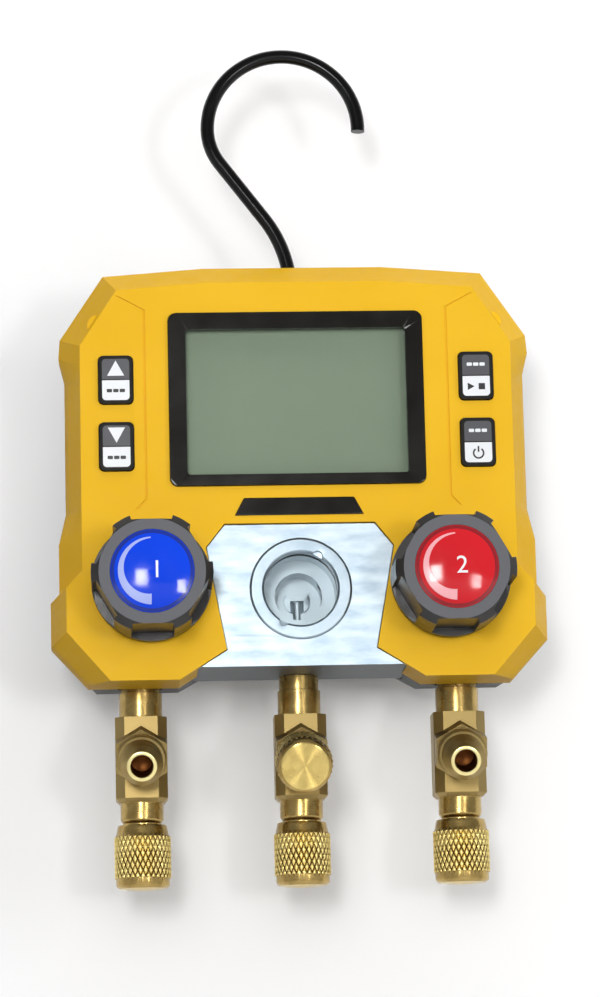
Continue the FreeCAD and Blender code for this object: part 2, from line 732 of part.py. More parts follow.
def make_rear_cover():
    """Black moulded half: rest face, battery bay, screw wells and holes for the three ports."""
    body = new_body("rear_cover", turn=FRONT)
    top = S.parting_depth - S.cover_gap
    saddle = [(S.saddle_half, S.saddle_z)]
    lower = new_sketch(body)
    add_loop(lower, mirrored(rest_half() + saddle))
    upper = new_sketch(body, lift=top)
    add_loop(upper, mirrored(drawn_in(rim_half(), S.cover_step) + saddle))
    loft(body, lower, upper)
    lower = new_sketch(body, lift=S.back_wall)
    add_loop(lower, mirrored(cavity_half(drawn_in(rim_half(), S.rest_inset))))
    upper = new_sketch(body, lift=top)
    add_loop(upper, mirrored(cavity_half(drawn_in(rim_half(), S.cover_step))))
    loft(body, lower, upper, "SubtractiveLoft")
    fill_rear_cover(body, top)
    pierce_rear_cover(body)


def fill_rear_cover(body, top):
    """Screw bosses, the box of the battery bay and the bracket of the hook's bush."""
    bosses = new_sketch(body, lift=S.back_wall / 2)
    for x, z in both_sides(boss_places()):
        add_circle(bosses, x, z, S.boss_radius)
    pad(body, bosses, top - S.back_wall / 2)
    box = new_sketch(body, lift=S.back_wall / 2)
    width = (S.bay_half + BAY_WALL) * 2
    height = (S.bay_half_height + BAY_WALL) * 2
    add_loop(box, rectangle(as_size(0), S.bay_middle, width, height, S.bezel_corner))
    pad(body, box, S.bay_depth + BAY_WALL - S.back_wall / 2)
    bracket = new_sketch(body, lift=S.back_wall / 2)
    add_loop(bracket, bracket_outline(S.hook_swivel_z + S.cover_gap))
    pad(body, bracket, top - S.back_wall / 2)


def bracket_outline(high):
    """Outline of the block that holds the hook's bush, up to a height."""
    half = S.bush_radius + S.wall
    low = bush_foot()
    return [(-half, low), (half, low), (half, high), (-half, high)]


def pierce_rear_cover(body):
    """Battery bay, door recess and peg holes, screw wells, port holes and the bush's seat."""
    bay = new_sketch(body, lift=S.bay_depth)
    bay_width, bay_height = S.bay_half * 2, S.bay_half_height * 2
    add_loop(bay, rectangle(as_size(0), S.bay_middle, bay_width, bay_height, S.button_corner))
    cut_down(body, bay, S.bay_depth)
    recess_depth = S.door_sink + S.door_thickness + S.cover_gap
    recess = new_sketch(body, lift=recess_depth)
    width, height = door_size()
    gap = S.seat_gap * 2
    add_loop(recess, rectangle(as_size(0), S.bay_middle, width + gap, height + gap))
    cut_down(body, recess, recess_depth)
    peg_depth, peg_height = peg_place()
    swing = S.pin_radius + PEG_MARGIN + S.seat_gap
    relief = new_sketch(body, lift=peg_depth + swing)
    add_loop(relief, rectangle(as_size(0), peg_height, width + gap, swing * 2))
    cut_down(body, relief, peg_depth + swing)
    reach = width / 2 + S.pin_length + S.seat_gap
    hole(body, peg_height, peg_depth, S.pin_radius + S.turn_gap, reach, reach * 2, "YZ_Plane")
    wells = new_sketch(body, lift=WELL_DEPTH)
    shafts = new_sketch(body, lift=S.parting_depth)
    for x, z in both_sides(boss_places()):
        add_circle(wells, x, z, S.screw_head + S.slip_gap)
        add_circle(shafts, x, z, S.screw_radius + S.slip_gap)
    for x, z in both_sides(BLOCK_SCREWS):
        add_circle(wells, x, z, S.screw_head + S.slip_gap)
        add_circle(shafts, x, z, S.screw_radius + S.slip_gap)
    cut_down(body, wells, WELL_DEPTH)
    cut_down(body, shafts, S.parting_depth)
    ports = new_sketch(body, "XZ_Plane", -(S.block_foot - S.seat_gap + 1))
    for side in (1, -1):
        add_circle(ports, side * PORT_SPACING, S.port_depth, S.tee_stem_radius + S.seat_gap * 3)
    bore_upwards(body, ports, PORT_CLEARING)
    seat_hook_bush(body)


def make_block():
    """Machined block: visible land, sight chamber, valve bores, ports and passages."""
    body = new_body("manifold_block", turn=FRONT)
    front = S.case_depth - S.face_wall - S.seat_gap
    rear = S.back_wall + S.seat_gap
    base = new_sketch(body, lift=rear)
    add_loop(base, mirrored([
        (BLOCK_HALF, S.block_top), (BLOCK_HALF, S.block_foot + S.block_cut),
        (BLOCK_HALF - S.block_cut, S.block_foot),
    ]))
    pad(body, base, front - rear)
    land = new_sketch(body, lift=front - 1)
    slope = (S.lobe_floor_inner - S.window_foot_half) / (S.window_foot_z - S.lobe_floor)
    foot_half = S.window_foot_half + (S.window_foot_z - S.block_foot) * slope
    right = [(foot_half - S.seat_gap, S.block_foot)] + window_half(S.seat_gap)
    add_loop(land, mirrored(right))
    pad(body, land, S.block_land - front + 1)
    bore_sight_chamber(body)
    bore_valves(body, front)
    bore_ports(body)
    screws = new_sketch(body, lift=rear + BLOCK_SCREW_REACH)
    for x, z in both_sides(BLOCK_SCREWS):
        add_circle(screws, x, z, S.screw_radius)
    cut_down(body, screws, BLOCK_SCREW_REACH)


def bore_sight_chamber(body):
    """Counterbores for ring, glass and seal, then the chamber and its well with a stub in it."""
    ring_seat = S.block_land + S.sight_ring_proud - S.sight_ring_height
    seal_seat = ring_seat - S.glass_thickness - S.seal_height
    hole(body, 0, 0, S.sight_ring_radius + S.turn_gap, S.block_land, S.block_land - ring_seat)
    hole(body, 0, 0, S.glass_radius + S.turn_gap, ring_seat, ring_seat - seal_seat)
    hole(body, 0, 0, S.sight_hole_radius, seal_seat, seal_seat - S.sight_floor_depth)
    well = new_sketch(body, lift=S.sight_floor_depth)
    add_circle(well, 0, 0, S.well_radius)
    cut_down(body, well, S.sight_floor_depth - S.well_depth)
    stub = new_sketch(body, lift=S.well_depth - 1)
    add_circle(stub, 0, 0, S.stub_radius)
    pad(body, stub, S.stub_height + 1)


def bore_valves(body, front):
    """Threaded bore, valve bore and seat for each hand valve, with the passage that joins them."""
    for side in (1, -1):
        x = side * VALVE_X
        bonnet_foot = S.bonnet_foot_depth - S.seat_gap
        hole(body, x, S.valve_z, S.bonnet_radius + S.turn_gap, front, front - bonnet_foot)
        hole(body, x, S.valve_z, S.valve_bore, bonnet_foot, bonnet_foot - S.valve_seat_depth)
        hole(body, x, S.valve_z, S.passage_radius, S.valve_seat_depth, S.passage_radius * 2)
    gallery_depth = S.valve_seat_depth + S.valve_bore * 0.75
    reach = VALVE_X
    hole(body, S.valve_z, gallery_depth, S.passage_radius, reach, reach * 2, "YZ_Plane")


def bore_ports(body):
    """Port sockets in the underside, sensor sockets in the top and the passages between."""
    for place_x in (-PORT_SPACING, as_size(0), PORT_SPACING):
        socket = new_sketch(body, "XZ_Plane", -(S.block_foot + S.tee_spigot + S.seat_gap))
        add_circle(socket, place_x, S.port_depth, S.tee_spigot_radius + S.turn_gap)
        bore_upwards(body, socket, S.tee_spigot + S.seat_gap)
        passage = new_sketch(body, "XZ_Plane", 0)
        add_circle(passage, place_x, S.port_depth, S.passage_radius - 0.2)
        bore_upwards(body, passage, -(S.block_foot + S.tee_spigot))
    for side in (1, -1):
        socket = new_sketch(body, "XZ_Plane", -(S.block_top - SENSOR_SOCKET))
        add_circle(socket, side * PORT_SPACING, S.port_depth, S.sensor_thread + S.turn_gap)
        cut_down(body, socket, SENSOR_SOCKET)
        passage = new_sketch(body, "XZ_Plane", 0)
        add_circle(passage, side * PORT_SPACING, S.port_depth, S.passage_radius - 0.2)
        cut_down(body, passage, S.block_top - SENSOR_SOCKET)


def bore_upwards(body, sketch, length):
    """Cut a sketch out along its normal, which here points down from the sketch."""
    before = body.Shape.Volume
    feature = body.newObject("PartDesign::Pocket", f"{body.Label}_bore")
    feature.Profile = sketch
    feature.Reversed = True
    feature.setExpression("Length", as_size(length).text)
    doc.recompute()
    require_loss(body, before)


def make_sight_glass():
    """Screwed ring with two spanner notches, thick glass and its seal."""
    where = {"depth": S.block_land, "turn": FRONT}
    top = S.sight_ring_proud
    foot = top - S.sight_ring_height
    edge = SMALL_CHAMFER
    ring = turned("sight_ring", [
        (S.sight_hole_radius, foot), (S.sight_ring_radius, foot), (S.sight_ring_radius, top - edge),
        (S.sight_ring_radius - edge, top), (S.sight_hole_radius + edge, top),
        (S.sight_hole_radius, top - edge),
    ], **where)
    notches = new_sketch(ring, lift=top)
    for side in (1, -1):
        centre_x = side * S.sight_hole_radius * math.cos(NOTCH_TURN)
        centre_y = side * S.sight_hole_radius * math.sin(NOTCH_TURN)
        add_circle(notches, centre_x, centre_y, S.notch_radius)
    cut_down(ring, notches, S.notch_depth)
    gap = S.turn_gap
    turned("sight_window", [
        (0, foot - S.glass_thickness + gap), (S.glass_radius, foot - S.glass_thickness + gap),
        (S.glass_radius, foot - gap), (0, foot - gap),
    ], **where)
    low = foot - S.glass_thickness - S.seal_height + gap
    turned("sight_seal", [
        (S.sight_hole_radius + gap, low), (S.glass_radius - gap, low),
        (S.glass_radius - gap, low + S.seal_height - gap), (S.sight_hole_radius + gap, low + S.seal_height - gap),
    ], **where)


def make_valve(side_name, side):
    """Bonnet, stem, seat disc, gland seal, knob, insert and knob screw of one hand valve."""
    where = {"x": side * VALVE_X, "z": S.valve_z, "turn": FRONT}
    make_bonnet(side_name, where)
    make_stem(side_name, where)
    make_knob(side_name, where)
    make_insert(side_name, where)


def seal_groove():
    """Height of the lower end of the gland seal, measured from the rest face."""
    return S.bonnet_foot_depth + S.seal_height * 2


def make_bonnet(side_name, where):
    """Brass gland nut with its hexagon, and the seal it holds round the stem."""
    seat = S.case_depth - S.face_wall
    bore = S.stem_radius + S.turn_gap
    low = seal_groove()
    bonnet = turned(f"{side_name}_bonnet", [
        (bore, S.bonnet_foot_depth), (S.bonnet_radius, S.bonnet_foot_depth), (S.bonnet_radius, seat),
        (bore, seat), (bore, low + S.seal_height), (S.seal_radius, low + S.seal_height),
        (S.seal_radius, low), (bore, low),
    ], **where)
    head = new_sketch(bonnet, lift=seat - S.seat_gap)
    add_loop(head, hexagon(S.bonnet_hex))
    add_circle(head, 0, 0, bore)
    pad(bonnet, head, S.bonnet_head + S.seat_gap)
    gap = S.turn_gap / 2
    turned(f"{side_name}_stem_seal", [
        (bore, low + gap), (S.seal_radius - gap, low + gap),
        (S.seal_radius - gap, low + S.seal_height - gap), (bore, low + S.seal_height - gap),
    ], **where)


def make_stem(side_name, where):
    """Threaded stem with a waist, and the seat disc that swivels on its tip."""
    disc_top = S.valve_seat_depth + S.plunger_height
    knob_web = S.case_depth + S.knob_gap + S.knob_web
    turned(f"{side_name}_plunger", [
        (0, S.valve_seat_depth + S.turn_gap), (S.passage_radius * 0.8, S.valve_seat_depth + S.turn_gap),
        (S.plunger_radius, S.valve_seat_depth + S.plunger_height * 0.4), (S.plunger_radius, disc_top),
        (0, disc_top),
    ], **where)
    low = disc_top + S.turn_gap
    stem = turned(f"{side_name}_stem", [
        (0, low), (S.stem_radius * 0.8, low), (S.stem_radius, low + 0.6),
        (S.stem_radius, knob_web - SMALL_CHAMFER), (S.stem_radius - SMALL_CHAMFER, knob_web), (0, knob_web),
    ], **where)
    hole(stem, 0, 0, KNOB_SCREW_RADIUS, knob_web, KNOB_SCREW_REACH)
    floor = S.case_depth + S.knob_gap + S.knob_height - S.knob_cap_depth
    head_foot = floor - KNOB_SCREW_HEAD - S.turn_gap
    turned(f"{side_name}_knob_screw", [
        (0, knob_web - KNOB_SCREW_REACH + 1), (KNOB_SCREW_RADIUS - S.turn_gap, knob_web - KNOB_SCREW_REACH + 1),
        (KNOB_SCREW_RADIUS - S.turn_gap, head_foot), (KNOB_SCREW_RADIUS * 2, head_foot),
        (KNOB_SCREW_RADIUS * 2, head_foot + KNOB_SCREW_HEAD), (0, head_foot + KNOB_SCREW_HEAD),
    ], **where)


def make_knob(side_name, where):
    """Lugged hand knob: round skirt, six finger recesses, hollow underside with a hub."""
    foot = S.case_depth + S.knob_gap
    top = foot + S.knob_height
    shoulder = top - S.knob_chamfer
    web = foot + S.knob_web
    floor = top - S.knob_cap_depth
    hub_radius = S.knob_hub_radius
    bore = S.stem_radius + S.turn_gap / 2
    hub_foot = S.case_depth - S.face_wall + S.bonnet_head + S.seat_gap * 2
    knob = turned(f"{side_name}_knob", [
        (S.knob_radius - S.knob_wall, foot), (S.knob_radius - SMALL_CHAMFER, foot),
        (S.knob_radius, foot + SMALL_CHAMFER), (S.knob_radius, shoulder), (S.knob_face_radius, top),
        (S.knob_cap_radius, top), (S.knob_cap_radius, floor), (KNOB_SCREW_RADIUS + S.slip_gap, floor),
        (KNOB_SCREW_RADIUS + S.slip_gap, web), (bore, web), (bore, hub_foot), (hub_radius, hub_foot),
        (hub_radius, web), (S.knob_radius - S.knob_wall, web),
    ], **where)
    hole(knob, 0, 0, KNOB_SCREW_RADIUS * 2 + S.slip_gap, floor, KNOB_SCREW_HEAD + S.turn_gap)
    recess = new_sketch(knob, lift=top)
    half_gap = S.knob_grip_radius * math.tan(math.pi / 6) - S.knob_lug_half
    outer = S.knob_radius * 1.1
    splay = (outer - S.knob_grip_radius) * math.tan(math.pi / 12)
    add_loop(recess, [
        (-half_gap, S.knob_grip_radius), (half_gap, S.knob_grip_radius),
        (half_gap + splay, outer), (-half_gap - splay, outer),
    ])
    first = cut_down(knob, recess, S.knob_height - S.knob_skirt)
    pattern = knob.newObject("PartDesign::PolarPattern", f"{side_name}_knob_grips")
    pattern.Originals = [first]
    pattern.Axis = (recess, ["N_Axis"])
    pattern.Angle = 360
    pattern.Occurrences = 6
    knob.Tip = pattern
    before = knob.Shape.Volume
    doc.recompute()
    require_loss(knob, before)


def make_insert(side_name, where):
    """Domed coloured insert that snaps into the knob's top."""
    top = S.case_depth + S.knob_gap + S.knob_height
    floor = top - S.knob_cap_depth + S.turn_gap
    edge = top - S.turn_gap
    radius = S.knob_cap_radius - S.turn_gap
    crown = (radius * radius + S.insert_crown * S.insert_crown) / (S.insert_crown * 2)
    turned(f"{side_name}_insert", [
        (0, floor), (radius, floor), (radius, edge, crown), (0, edge + S.insert_crown),
    ], **where)


def make_display():
    """Bezel with its clear lens and the display cell behind it."""
    face = S.case_depth
    inner = face - S.face_wall
    flange_foot = inner - S.seat_gap - FLANGE
    bezel = new_body("display_bezel", z=S.display_z, turn=FRONT)
    flange = new_sketch(bezel, lift=flange_foot)
    width, height = S.bezel_width, S.bezel_height
    add_loop(flange, rectangle(as_size(0), as_size(0), width + FLANGE * 3, height + FLANGE * 3))
    pad(bezel, flange, FLANGE)
    frame = new_sketch(bezel, lift=flange_foot)
    add_loop(frame, rectangle(as_size(0), as_size(0), width, height, S.bezel_corner))
    pad(bezel, frame, face + S.bezel_proud - flange_foot)
    view = new_sketch(bezel, lift=face + S.bezel_proud)
    add_loop(view, rectangle(as_size(0), S.view_shift, S.view_width, S.view_height, as_size(0.8)))
    cut_down(bezel, view, face + S.bezel_proud - flange_foot)
    rebate = new_sketch(bezel, lift=S.lens_depth + S.lens_thickness + S.turn_gap)
    lens_width, lens_height = S.view_width + LENS_LAP * 2, S.view_height + LENS_LAP * 2
    gap = S.cover_gap * 2
    add_loop(rebate, rectangle(as_size(0), S.view_shift, lens_width + gap, lens_height + gap))
    cut_down(bezel, rebate, S.lens_depth + S.lens_thickness + S.turn_gap - flange_foot)
    lens = new_body("lcd_window", z=S.display_z, turn=FRONT)
    plate = new_sketch(lens, lift=S.lens_depth)
    add_loop(plate, rectangle(as_size(0), S.view_shift, lens_width, lens_height))
    pad(lens, plate, S.lens_thickness)
    module = new_body("lcd_module", z=S.display_z, turn=FRONT)
    board_face = S.board_depth + S.board_thickness + S.turn_gap
    cell = new_sketch(module, lift=board_face)
    add_loop(cell, rectangle(as_size(0), S.view_shift, lens_width, lens_height))
    pad(module, cell, S.lens_depth - S.turn_gap - board_face)


def make_board():
    """Circuit board with cut corners, its screws and the two key mats."""
    board = new_body("circuit_board", turn=FRONT)
    sheet = new_sketch(board, lift=S.board_depth)
    corner = S.bezel_corner * 4.4
    add_loop(sheet, [
        (-BOARD_HALF, S.board_foot), (BOARD_HALF, S.board_foot),
        (BOARD_HALF, S.board_top - corner), (BOARD_HALF - corner, S.board_top),
        (-BOARD_HALF + corner, S.board_top), (-BOARD_HALF, S.board_top - corner),
    ])
    for x, z in both_sides(BOARD_SCREWS):
        add_circle(sheet, x, z, BOARD_SCREW_RADIUS + S.turn_gap)
    pad(board, sheet, S.board_thickness)
    face = S.board_depth + S.board_thickness
    stub_foot = S.case_depth - S.face_wall - S.seat_gap - FLANGE - STUB
    dome_height = stub_foot - S.button_travel - S.turn_gap - face - S.mat_thickness
    for side_name, side in (("left", -1), ("right", 1)):
        mat = new_body(f"{side_name}_key_mat", x=side * S.button_x, turn=FRONT)
        strip = new_sketch(mat, lift=face)
        middle = (S.button_upper_z + S.button_lower_z) / 2
        height = S.button_upper_z - S.button_lower_z + S.button_height
        add_loop(strip, rectangle(as_size(0), middle, DOME_RADIUS * 2 + 1, height))
        pad(mat, strip, S.mat_thickness)
        domes = new_sketch(mat, lift=face + S.mat_thickness / 2)
        for z in (S.button_upper_z, S.button_lower_z):
            add_circle(domes, 0, z, DOME_RADIUS)
        bump = pad(mat, domes, S.mat_thickness / 2 + dome_height)
        bump.TaperAngle = -DOME_TAPER


def make_buttons():
    """Four push buttons, each with a flange inside the shell and a stub over its dome."""
    heights = (("upper", S.button_upper_z), ("lower", S.button_lower_z))
    for side_name, side in (("left", -1), ("right", 1)):
        for level, z in heights:
            make_button(f"button_{side_name}_{level}", side * S.button_x, z)


def make_button(label, x, z):
    """One button, drawn from the shell's face."""
    body = new_body(label, x=x, depth=S.case_depth, z=z, turn=FRONT)
    flange_top = -(S.face_wall + S.seat_gap)
    flange = new_sketch(body, lift=flange_top - FLANGE)
    width, height = S.button_width + FLANGE, S.button_height + FLANGE
    add_loop(flange, rectangle(as_size(0), as_size(0), width, height))
    pad(body, flange, FLANGE)
    key = new_sketch(body, lift=flange_top - FLANGE)
    add_loop(key, rectangle(as_size(0), as_size(0), S.button_width, S.button_height, S.button_corner))
    pad(body, key, S.button_proud - flange_top + FLANGE)
    stub = new_sketch(body, lift=flange_top - FLANGE - STUB)
    add_circle(stub, 0, 0, DOME_RADIUS * 0.7)
    pad(body, stub, STUB + FLANGE / 2)


def make_tee(label, x):
    """Brass tee: spigot, stem, faceted body, inclined branch socket, neck and lower thread."""
    body = new_body(label, x=x, depth=S.port_depth)
    edge = SMALL_CHAMFER
    revolve(body, [
        (0, S.port_nose), (S.nose_radius, S.port_nose), (S.thread_radius, S.port_thread_foot),
        (S.thread_radius, S.port_thread_top), (S.thread_radius - edge, S.port_thread_top + edge),
        (S.thread_radius - edge, S.cap_top + edge),
        (S.tee_neck_radius, S.cap_top + edge * 3), (S.tee_neck_radius, S.lobe_floor - S.seat_gap * 2),
        (S.tee_stem_radius, S.lobe_floor - S.seat_gap * 2), (S.tee_stem_radius, S.block_foot - S.turn_gap),
        (S.tee_spigot_radius, S.block_foot - S.turn_gap),
        (S.tee_spigot_radius, S.block_foot + S.tee_spigot), (0, S.block_foot + S.tee_spigot),
    ])
    core = new_sketch(body, lift=S.tee_foot)
    add_loop(core, faceted(S.tee_width, TEE_FACET))
    trunk = pad(body, core, S.tee_top - S.tee_foot)
    chamfer = body.newObject("PartDesign::Chamfer", f"{label}_shoulder")
    ends = edges_at(trunk.Shape, S.tee_foot.value, S.tee_width.value / 2)
    chamfer.Base = (trunk, ends)
    chamfer.setExpression("Size", (S.tee_width / 2 - S.tee_neck_radius - TEE_RIM).text)
    doc.recompute()
    add_branch(body)
    hole(body, 0, 0, S.port_bore, S.block_foot + S.tee_spigot, S.block_foot + S.tee_spigot - S.port_nose)


def faceted(width, facet):
    """Square outline with cut corners."""
    half = width / 2
    near = half - facet
    return [
        (-near, -half), (near, -half), (half, -near), (half, near),
        (near, half), (-near, half), (-half, near), (-half, -near),
    ]


def edges_at(shape, height, reach):
    """Names of the straight edges at a height, near the outside of a body as wide as given."""
    names = []
    for index, edge in enumerate(shape.Edges, start=1):
        box = edge.BoundBox
        level = abs(box.ZMin - height) < 1e-4 and abs(box.ZMax - height) < 1e-4
        outside = max(abs(box.XMin), abs(box.XMax), abs(box.YMin), abs(box.YMax)) > reach * 0.98
        straight = isinstance(edge.Curve, Part.Line)
        if level and straight and (outside or edge.Length < reach):
            names.append(f"Edge{index}")
    return names


def tilted_sketch(body):
    """A sketch square to the branch axis where that leaves the port axis."""
    sketch = new_sketch(body)
    turn = FreeCAD.Rotation(SWIVEL_AXIS, 90 + S.branch_tilt.value)
    sketch.AttachmentOffset = FreeCAD.Placement(Vector(0, 0, S.branch_z.value), turn)
    sketch.setExpression("AttachmentOffset.Base.z", S.branch_z.text)
    sketch.setExpression("AttachmentOffset.Rotation.Angle", f"(90 + {S.branch_tilt.text}) * 1 deg")
    return sketch


def add_branch(body):
    """Hexagon of the branch and the socket for its stud."""
    flats = tilted_sketch(body)
    add_loop(flats, hexagon(S.branch_hex))
    pad(body, flats, S.branch_hex_end)
    socket = tilted_sketch(body)
    add_circle(socket, 0, 0, S.branch_bore)
    bore_upwards(body, socket, S.branch_hex_end * 1.5)


def branch_place(x):
    """Place and direction of what sits on a tee's branch: its own Z axis runs along the branch."""
    turn = FreeCAD.Rotation(SWIVEL_AXIS, 90 + S.branch_tilt.value)
    return {"x": x, "depth": S.port_depth, "z": S.branch_z, "turn": turn}


def on_branch(label, corners, x):
    """A turned sub-part on a branch, with its tilt bound to the sheet."""
    body = turned(label, corners, **branch_place(x))
    body.setExpression("Placement.Rotation.Angle", f"(90 + {S.branch_tilt.text}) * 1 deg")
    doc.recompute()
    return body


def stud_outside():
    """Outside of a branch stud from its spigot to the flare nose, as (radius, reach)."""
    edge = SMALL_CHAMFER
    spigot = S.branch_bore - S.turn_gap / 2
    collar = S.branch_hex / 2 - S.turn_gap
    foot = S.branch_hex_end * 0.4
    return [
        (spigot, foot), (spigot, S.branch_hex_end), (collar - edge, S.branch_hex_end + S.turn_gap),
        (collar, S.branch_hex_end + edge * 2), (collar, S.collar_end - edge),
        (collar - edge, S.collar_end), (S.thread_radius - edge, S.collar_end),
        (S.thread_radius, S.collar_end + edge * 2), (S.thread_radius, S.thread_end),
        (S.nose_radius, S.nose_end - edge), (S.nose_radius - edge, S.nose_end),
    ]


def make_studs():
    """Blind studs of the outer tees, and the access port with its core on the middle one."""
    foot = S.branch_hex_end * 0.4
    blind = [(S.nose_bore, S.nose_end), (S.nose_bore, S.collar_end), (0, S.collar_end - S.nose_bore / 2), (0, foot)]
    for side_name, side in (("low", -1), ("high", 1)):
        on_branch(f"{side_name}_stud", stud_outside() + blind, side * PORT_SPACING)
    open_bore = [
        (S.nose_bore, S.nose_end), (S.nose_bore, S.thread_end), (S.core_radius + S.turn_gap, S.thread_end),
        (S.core_radius + S.turn_gap, S.branch_hex_end), (S.passage_radius * 0.6, S.branch_hex_end),
        (S.passage_radius * 0.6, foot),
    ]
    on_branch("charge_port", stud_outside() + open_bore, 0)
    on_branch("valve_core", [
        (0, S.branch_hex_end + S.turn_gap), (S.core_radius, S.branch_hex_end + S.turn_gap),
        (S.core_radius, S.thread_end - 2), (S.core_radius * 0.3, S.thread_end - 2),
        (S.core_radius * 0.3, S.thread_end), (0, S.thread_end),
    ], 0)


def cap_profile(mouth, end, sign):
    """Half section of a knurled cap along its axis, from its mouth to its closed end."""
    floor = end - sign * S.cap_floor
    edge = SMALL_CHAMFER
    return [
        (S.cap_bore, mouth), (S.cap_collar_radius, mouth),
        (S.cap_radius - edge, mouth + sign * S.cap_collar), (S.cap_radius, mouth + sign * (S.cap_collar + edge)),
        (S.cap_radius, end - sign * edge * 2), (S.cap_radius - edge * 2, end), (0, end),
        (0, floor), (S.cap_bore, floor),
    ]


def gasket_profile(end, sign):
    """Half section of the gasket that lies on a cap's floor."""
    floor = end - sign * (S.cap_floor + S.turn_gap)
    top = floor - sign * S.seal_height
    outer = S.cap_bore - S.turn_gap
    return [(0, floor), (outer, floor), (outer, top), (0, top)]


def make_caps():
    """Knurled caps with their gaskets: three on the lower ports and one on the access port."""
    places = (("low", -PORT_SPACING), ("centre", as_size(0)), ("high", PORT_SPACING))
    for side_name, x in places:
        turned(f"{side_name}_cap", cap_profile(S.cap_top, S.cap_foot, -1), x=x, depth=S.port_depth)
        turned(f"{side_name}_cap_gasket", gasket_profile(S.cap_foot, -1), x=x, depth=S.port_depth)
    on_branch("charge_cap", cap_profile(S.charge_cap_mouth, S.charge_cap_end, 1), 0)
    on_branch("charge_cap_gasket", gasket_profile(S.charge_cap_end, 1), 0)


def make_hook():
    """Bent wire hook: straight shank, lower bend, straight run, closed side, bow and open end."""
    body = new_body("hook", depth=S.parting_depth)
    spine = new_sketch(body, "XZ_Plane")
    run, rise = HOOK_SLOPE
    bend_end = (S.hook_bend * (rise - 1), S.hook_swivel_z + S.hook_bend * run)
    run_end = (bend_end[0] - S.hook_reach * run, bend_end[1] + S.hook_reach * rise)
    cheek = (run_end[0] - S.hook_cheek * (1 - rise), run_end[1] + S.hook_cheek * run)
    crown = (cheek[0] + S.hook_loop, cheek[1] + S.hook_loop)
    tip_turn = math.radians(HOOK_TIP)
    tip = (crown[0] + S.hook_loop * math.cos(tip_turn), cheek[1] - S.hook_loop * math.sin(tip_turn))
    foot = as_size(0), S.hook_swivel_z - S.hook_shank
    add_path(spine, [
        foot, (as_size(0), S.hook_swivel_z, S.hook_bend), bend_end, run_end + (-S.hook_cheek,),
        cheek + (-S.hook_loop,), crown + (-S.hook_loop,), tip,
    ])
    section = new_sketch(body, lift=foot[1])
    add_circle(section, 0, 0, S.wire_radius)
    pipe = body.newObject("PartDesign::AdditivePipe", "hook_wire")
    pipe.Profile = section
    pipe.Spine = spine
    pipe.Mode = "Frenet"
    doc.recompute()
    neck = bush_foot() - S.clip_height - S.slip_gap
    groove(body, [
        (S.clip_bore, neck), (S.wire_radius * 2, neck), (S.wire_radius * 2, neck + S.clip_height + 0.1),
        (S.clip_bore, neck + S.clip_height + 0.1),
    ])
    gap = S.turn_gap
    turned("hook_bush", [
        (S.wire_radius + gap, bush_foot()), (S.bush_radius, bush_foot()),
        (S.bush_radius, bush_foot() + S.bush_height), (S.wire_radius + gap, bush_foot() + S.bush_height),
    ], depth=S.parting_depth)
    turned("hook_clip", [
        (S.clip_bore + gap / 2, neck + gap / 2), (S.bush_radius, neck + gap / 2),
        (S.bush_radius, neck + S.clip_height), (S.clip_bore + gap / 2, neck + S.clip_height),
    ], depth=S.parting_depth)


def add_path(sketch, corners):
    """Draw an open path; a corner with a third value has an arc of that radius to the next one."""
    corners = [tuple(as_size(part) for part in corner) for corner in corners]
    points = [Vector(corner[0].value, corner[1].value, 0) for corner in corners]
    rules = []
    bound = []
    previous = None
    for index in range(len(corners) - 1):
        corner = corners[index]
        clockwise = len(corner) == 3 and corner[2].value < 0
        start, end = (2, 1) if clockwise else (1, 2)
        if len(corner) == 3:
            shape = arc_between(points[index], points[index + 1], corner[2].value)
        else:
            shape = Part.LineSegment(points[index], points[index + 1])
        edge = sketch.addGeometry(shape, False)
        for kind, size in zip(("DistanceX", "DistanceY"), corner[:2]):
            bound.append((len(rules), size))
            rules.append(Sketcher.Constraint(kind, -1, 1, edge, start, size.value))
        if len(corner) == 3:
            bound.append((len(rules), -corner[2] if clockwise else corner[2]))
            rules.append(Sketcher.Constraint("Radius", edge, abs(corner[2].value)))
        if previous is not None:
            rules.append(Sketcher.Constraint("Coincident", previous[0], previous[1], edge, start))
        previous = (edge, end)
    for kind, size in zip(("DistanceX", "DistanceY"), corners[-1][:2]):
        bound.append((len(rules), size))
        rules.append(Sketcher.Constraint(kind, -1, 1, previous[0], previous[1], size.value))
    sketch.addConstraint(rules)
    for index, size in bound:
        sketch.setExpression(f"Constraints[{index}]", size.text)


def make_sensors():
    """Pressure sensors screwed into the block's top."""
    for side_name, side in (("low", -1), ("high", 1)):
        seat = S.block_top + S.turn_gap
        foot = S.block_top - SENSOR_SOCKET + S.seat_gap
        top = seat + S.sensor_height
        turned(f"{side_name}_sensor", [
            (0, foot), (S.sensor_thread, foot), (S.sensor_thread, seat), (S.sensor_radius * 1.2, seat),
            (S.sensor_radius * 1.2, seat + S.sensor_height * 0.35),
            (S.sensor_radius, seat + S.sensor_height * 0.4), (S.sensor_radius, top),
            (0, top),
        ], x=side * PORT_SPACING, depth=S.port_depth)


def primitive(kind, **sizes):
    """A Part primitive whose sizes are bound to the sheet."""
    item = doc.addObject(f"Part::{kind}", kind)
    for name, size in sizes.items():
        item.setExpression(name, as_size(size).text)
    return item


def joined(kind, base, tool):
    """Fuse two solids, or cut the second out of the first."""
    item = doc.addObject(f"Part::{kind}", kind)
    item.Base = base
    item.Tool = tool
    return item


def group(label, items):
    """Several like solids that share one node."""
    item = doc.addObject("Part::Compound", label)
    item.Label = label
    item.Links = items
    nodes.append(item)
    return item


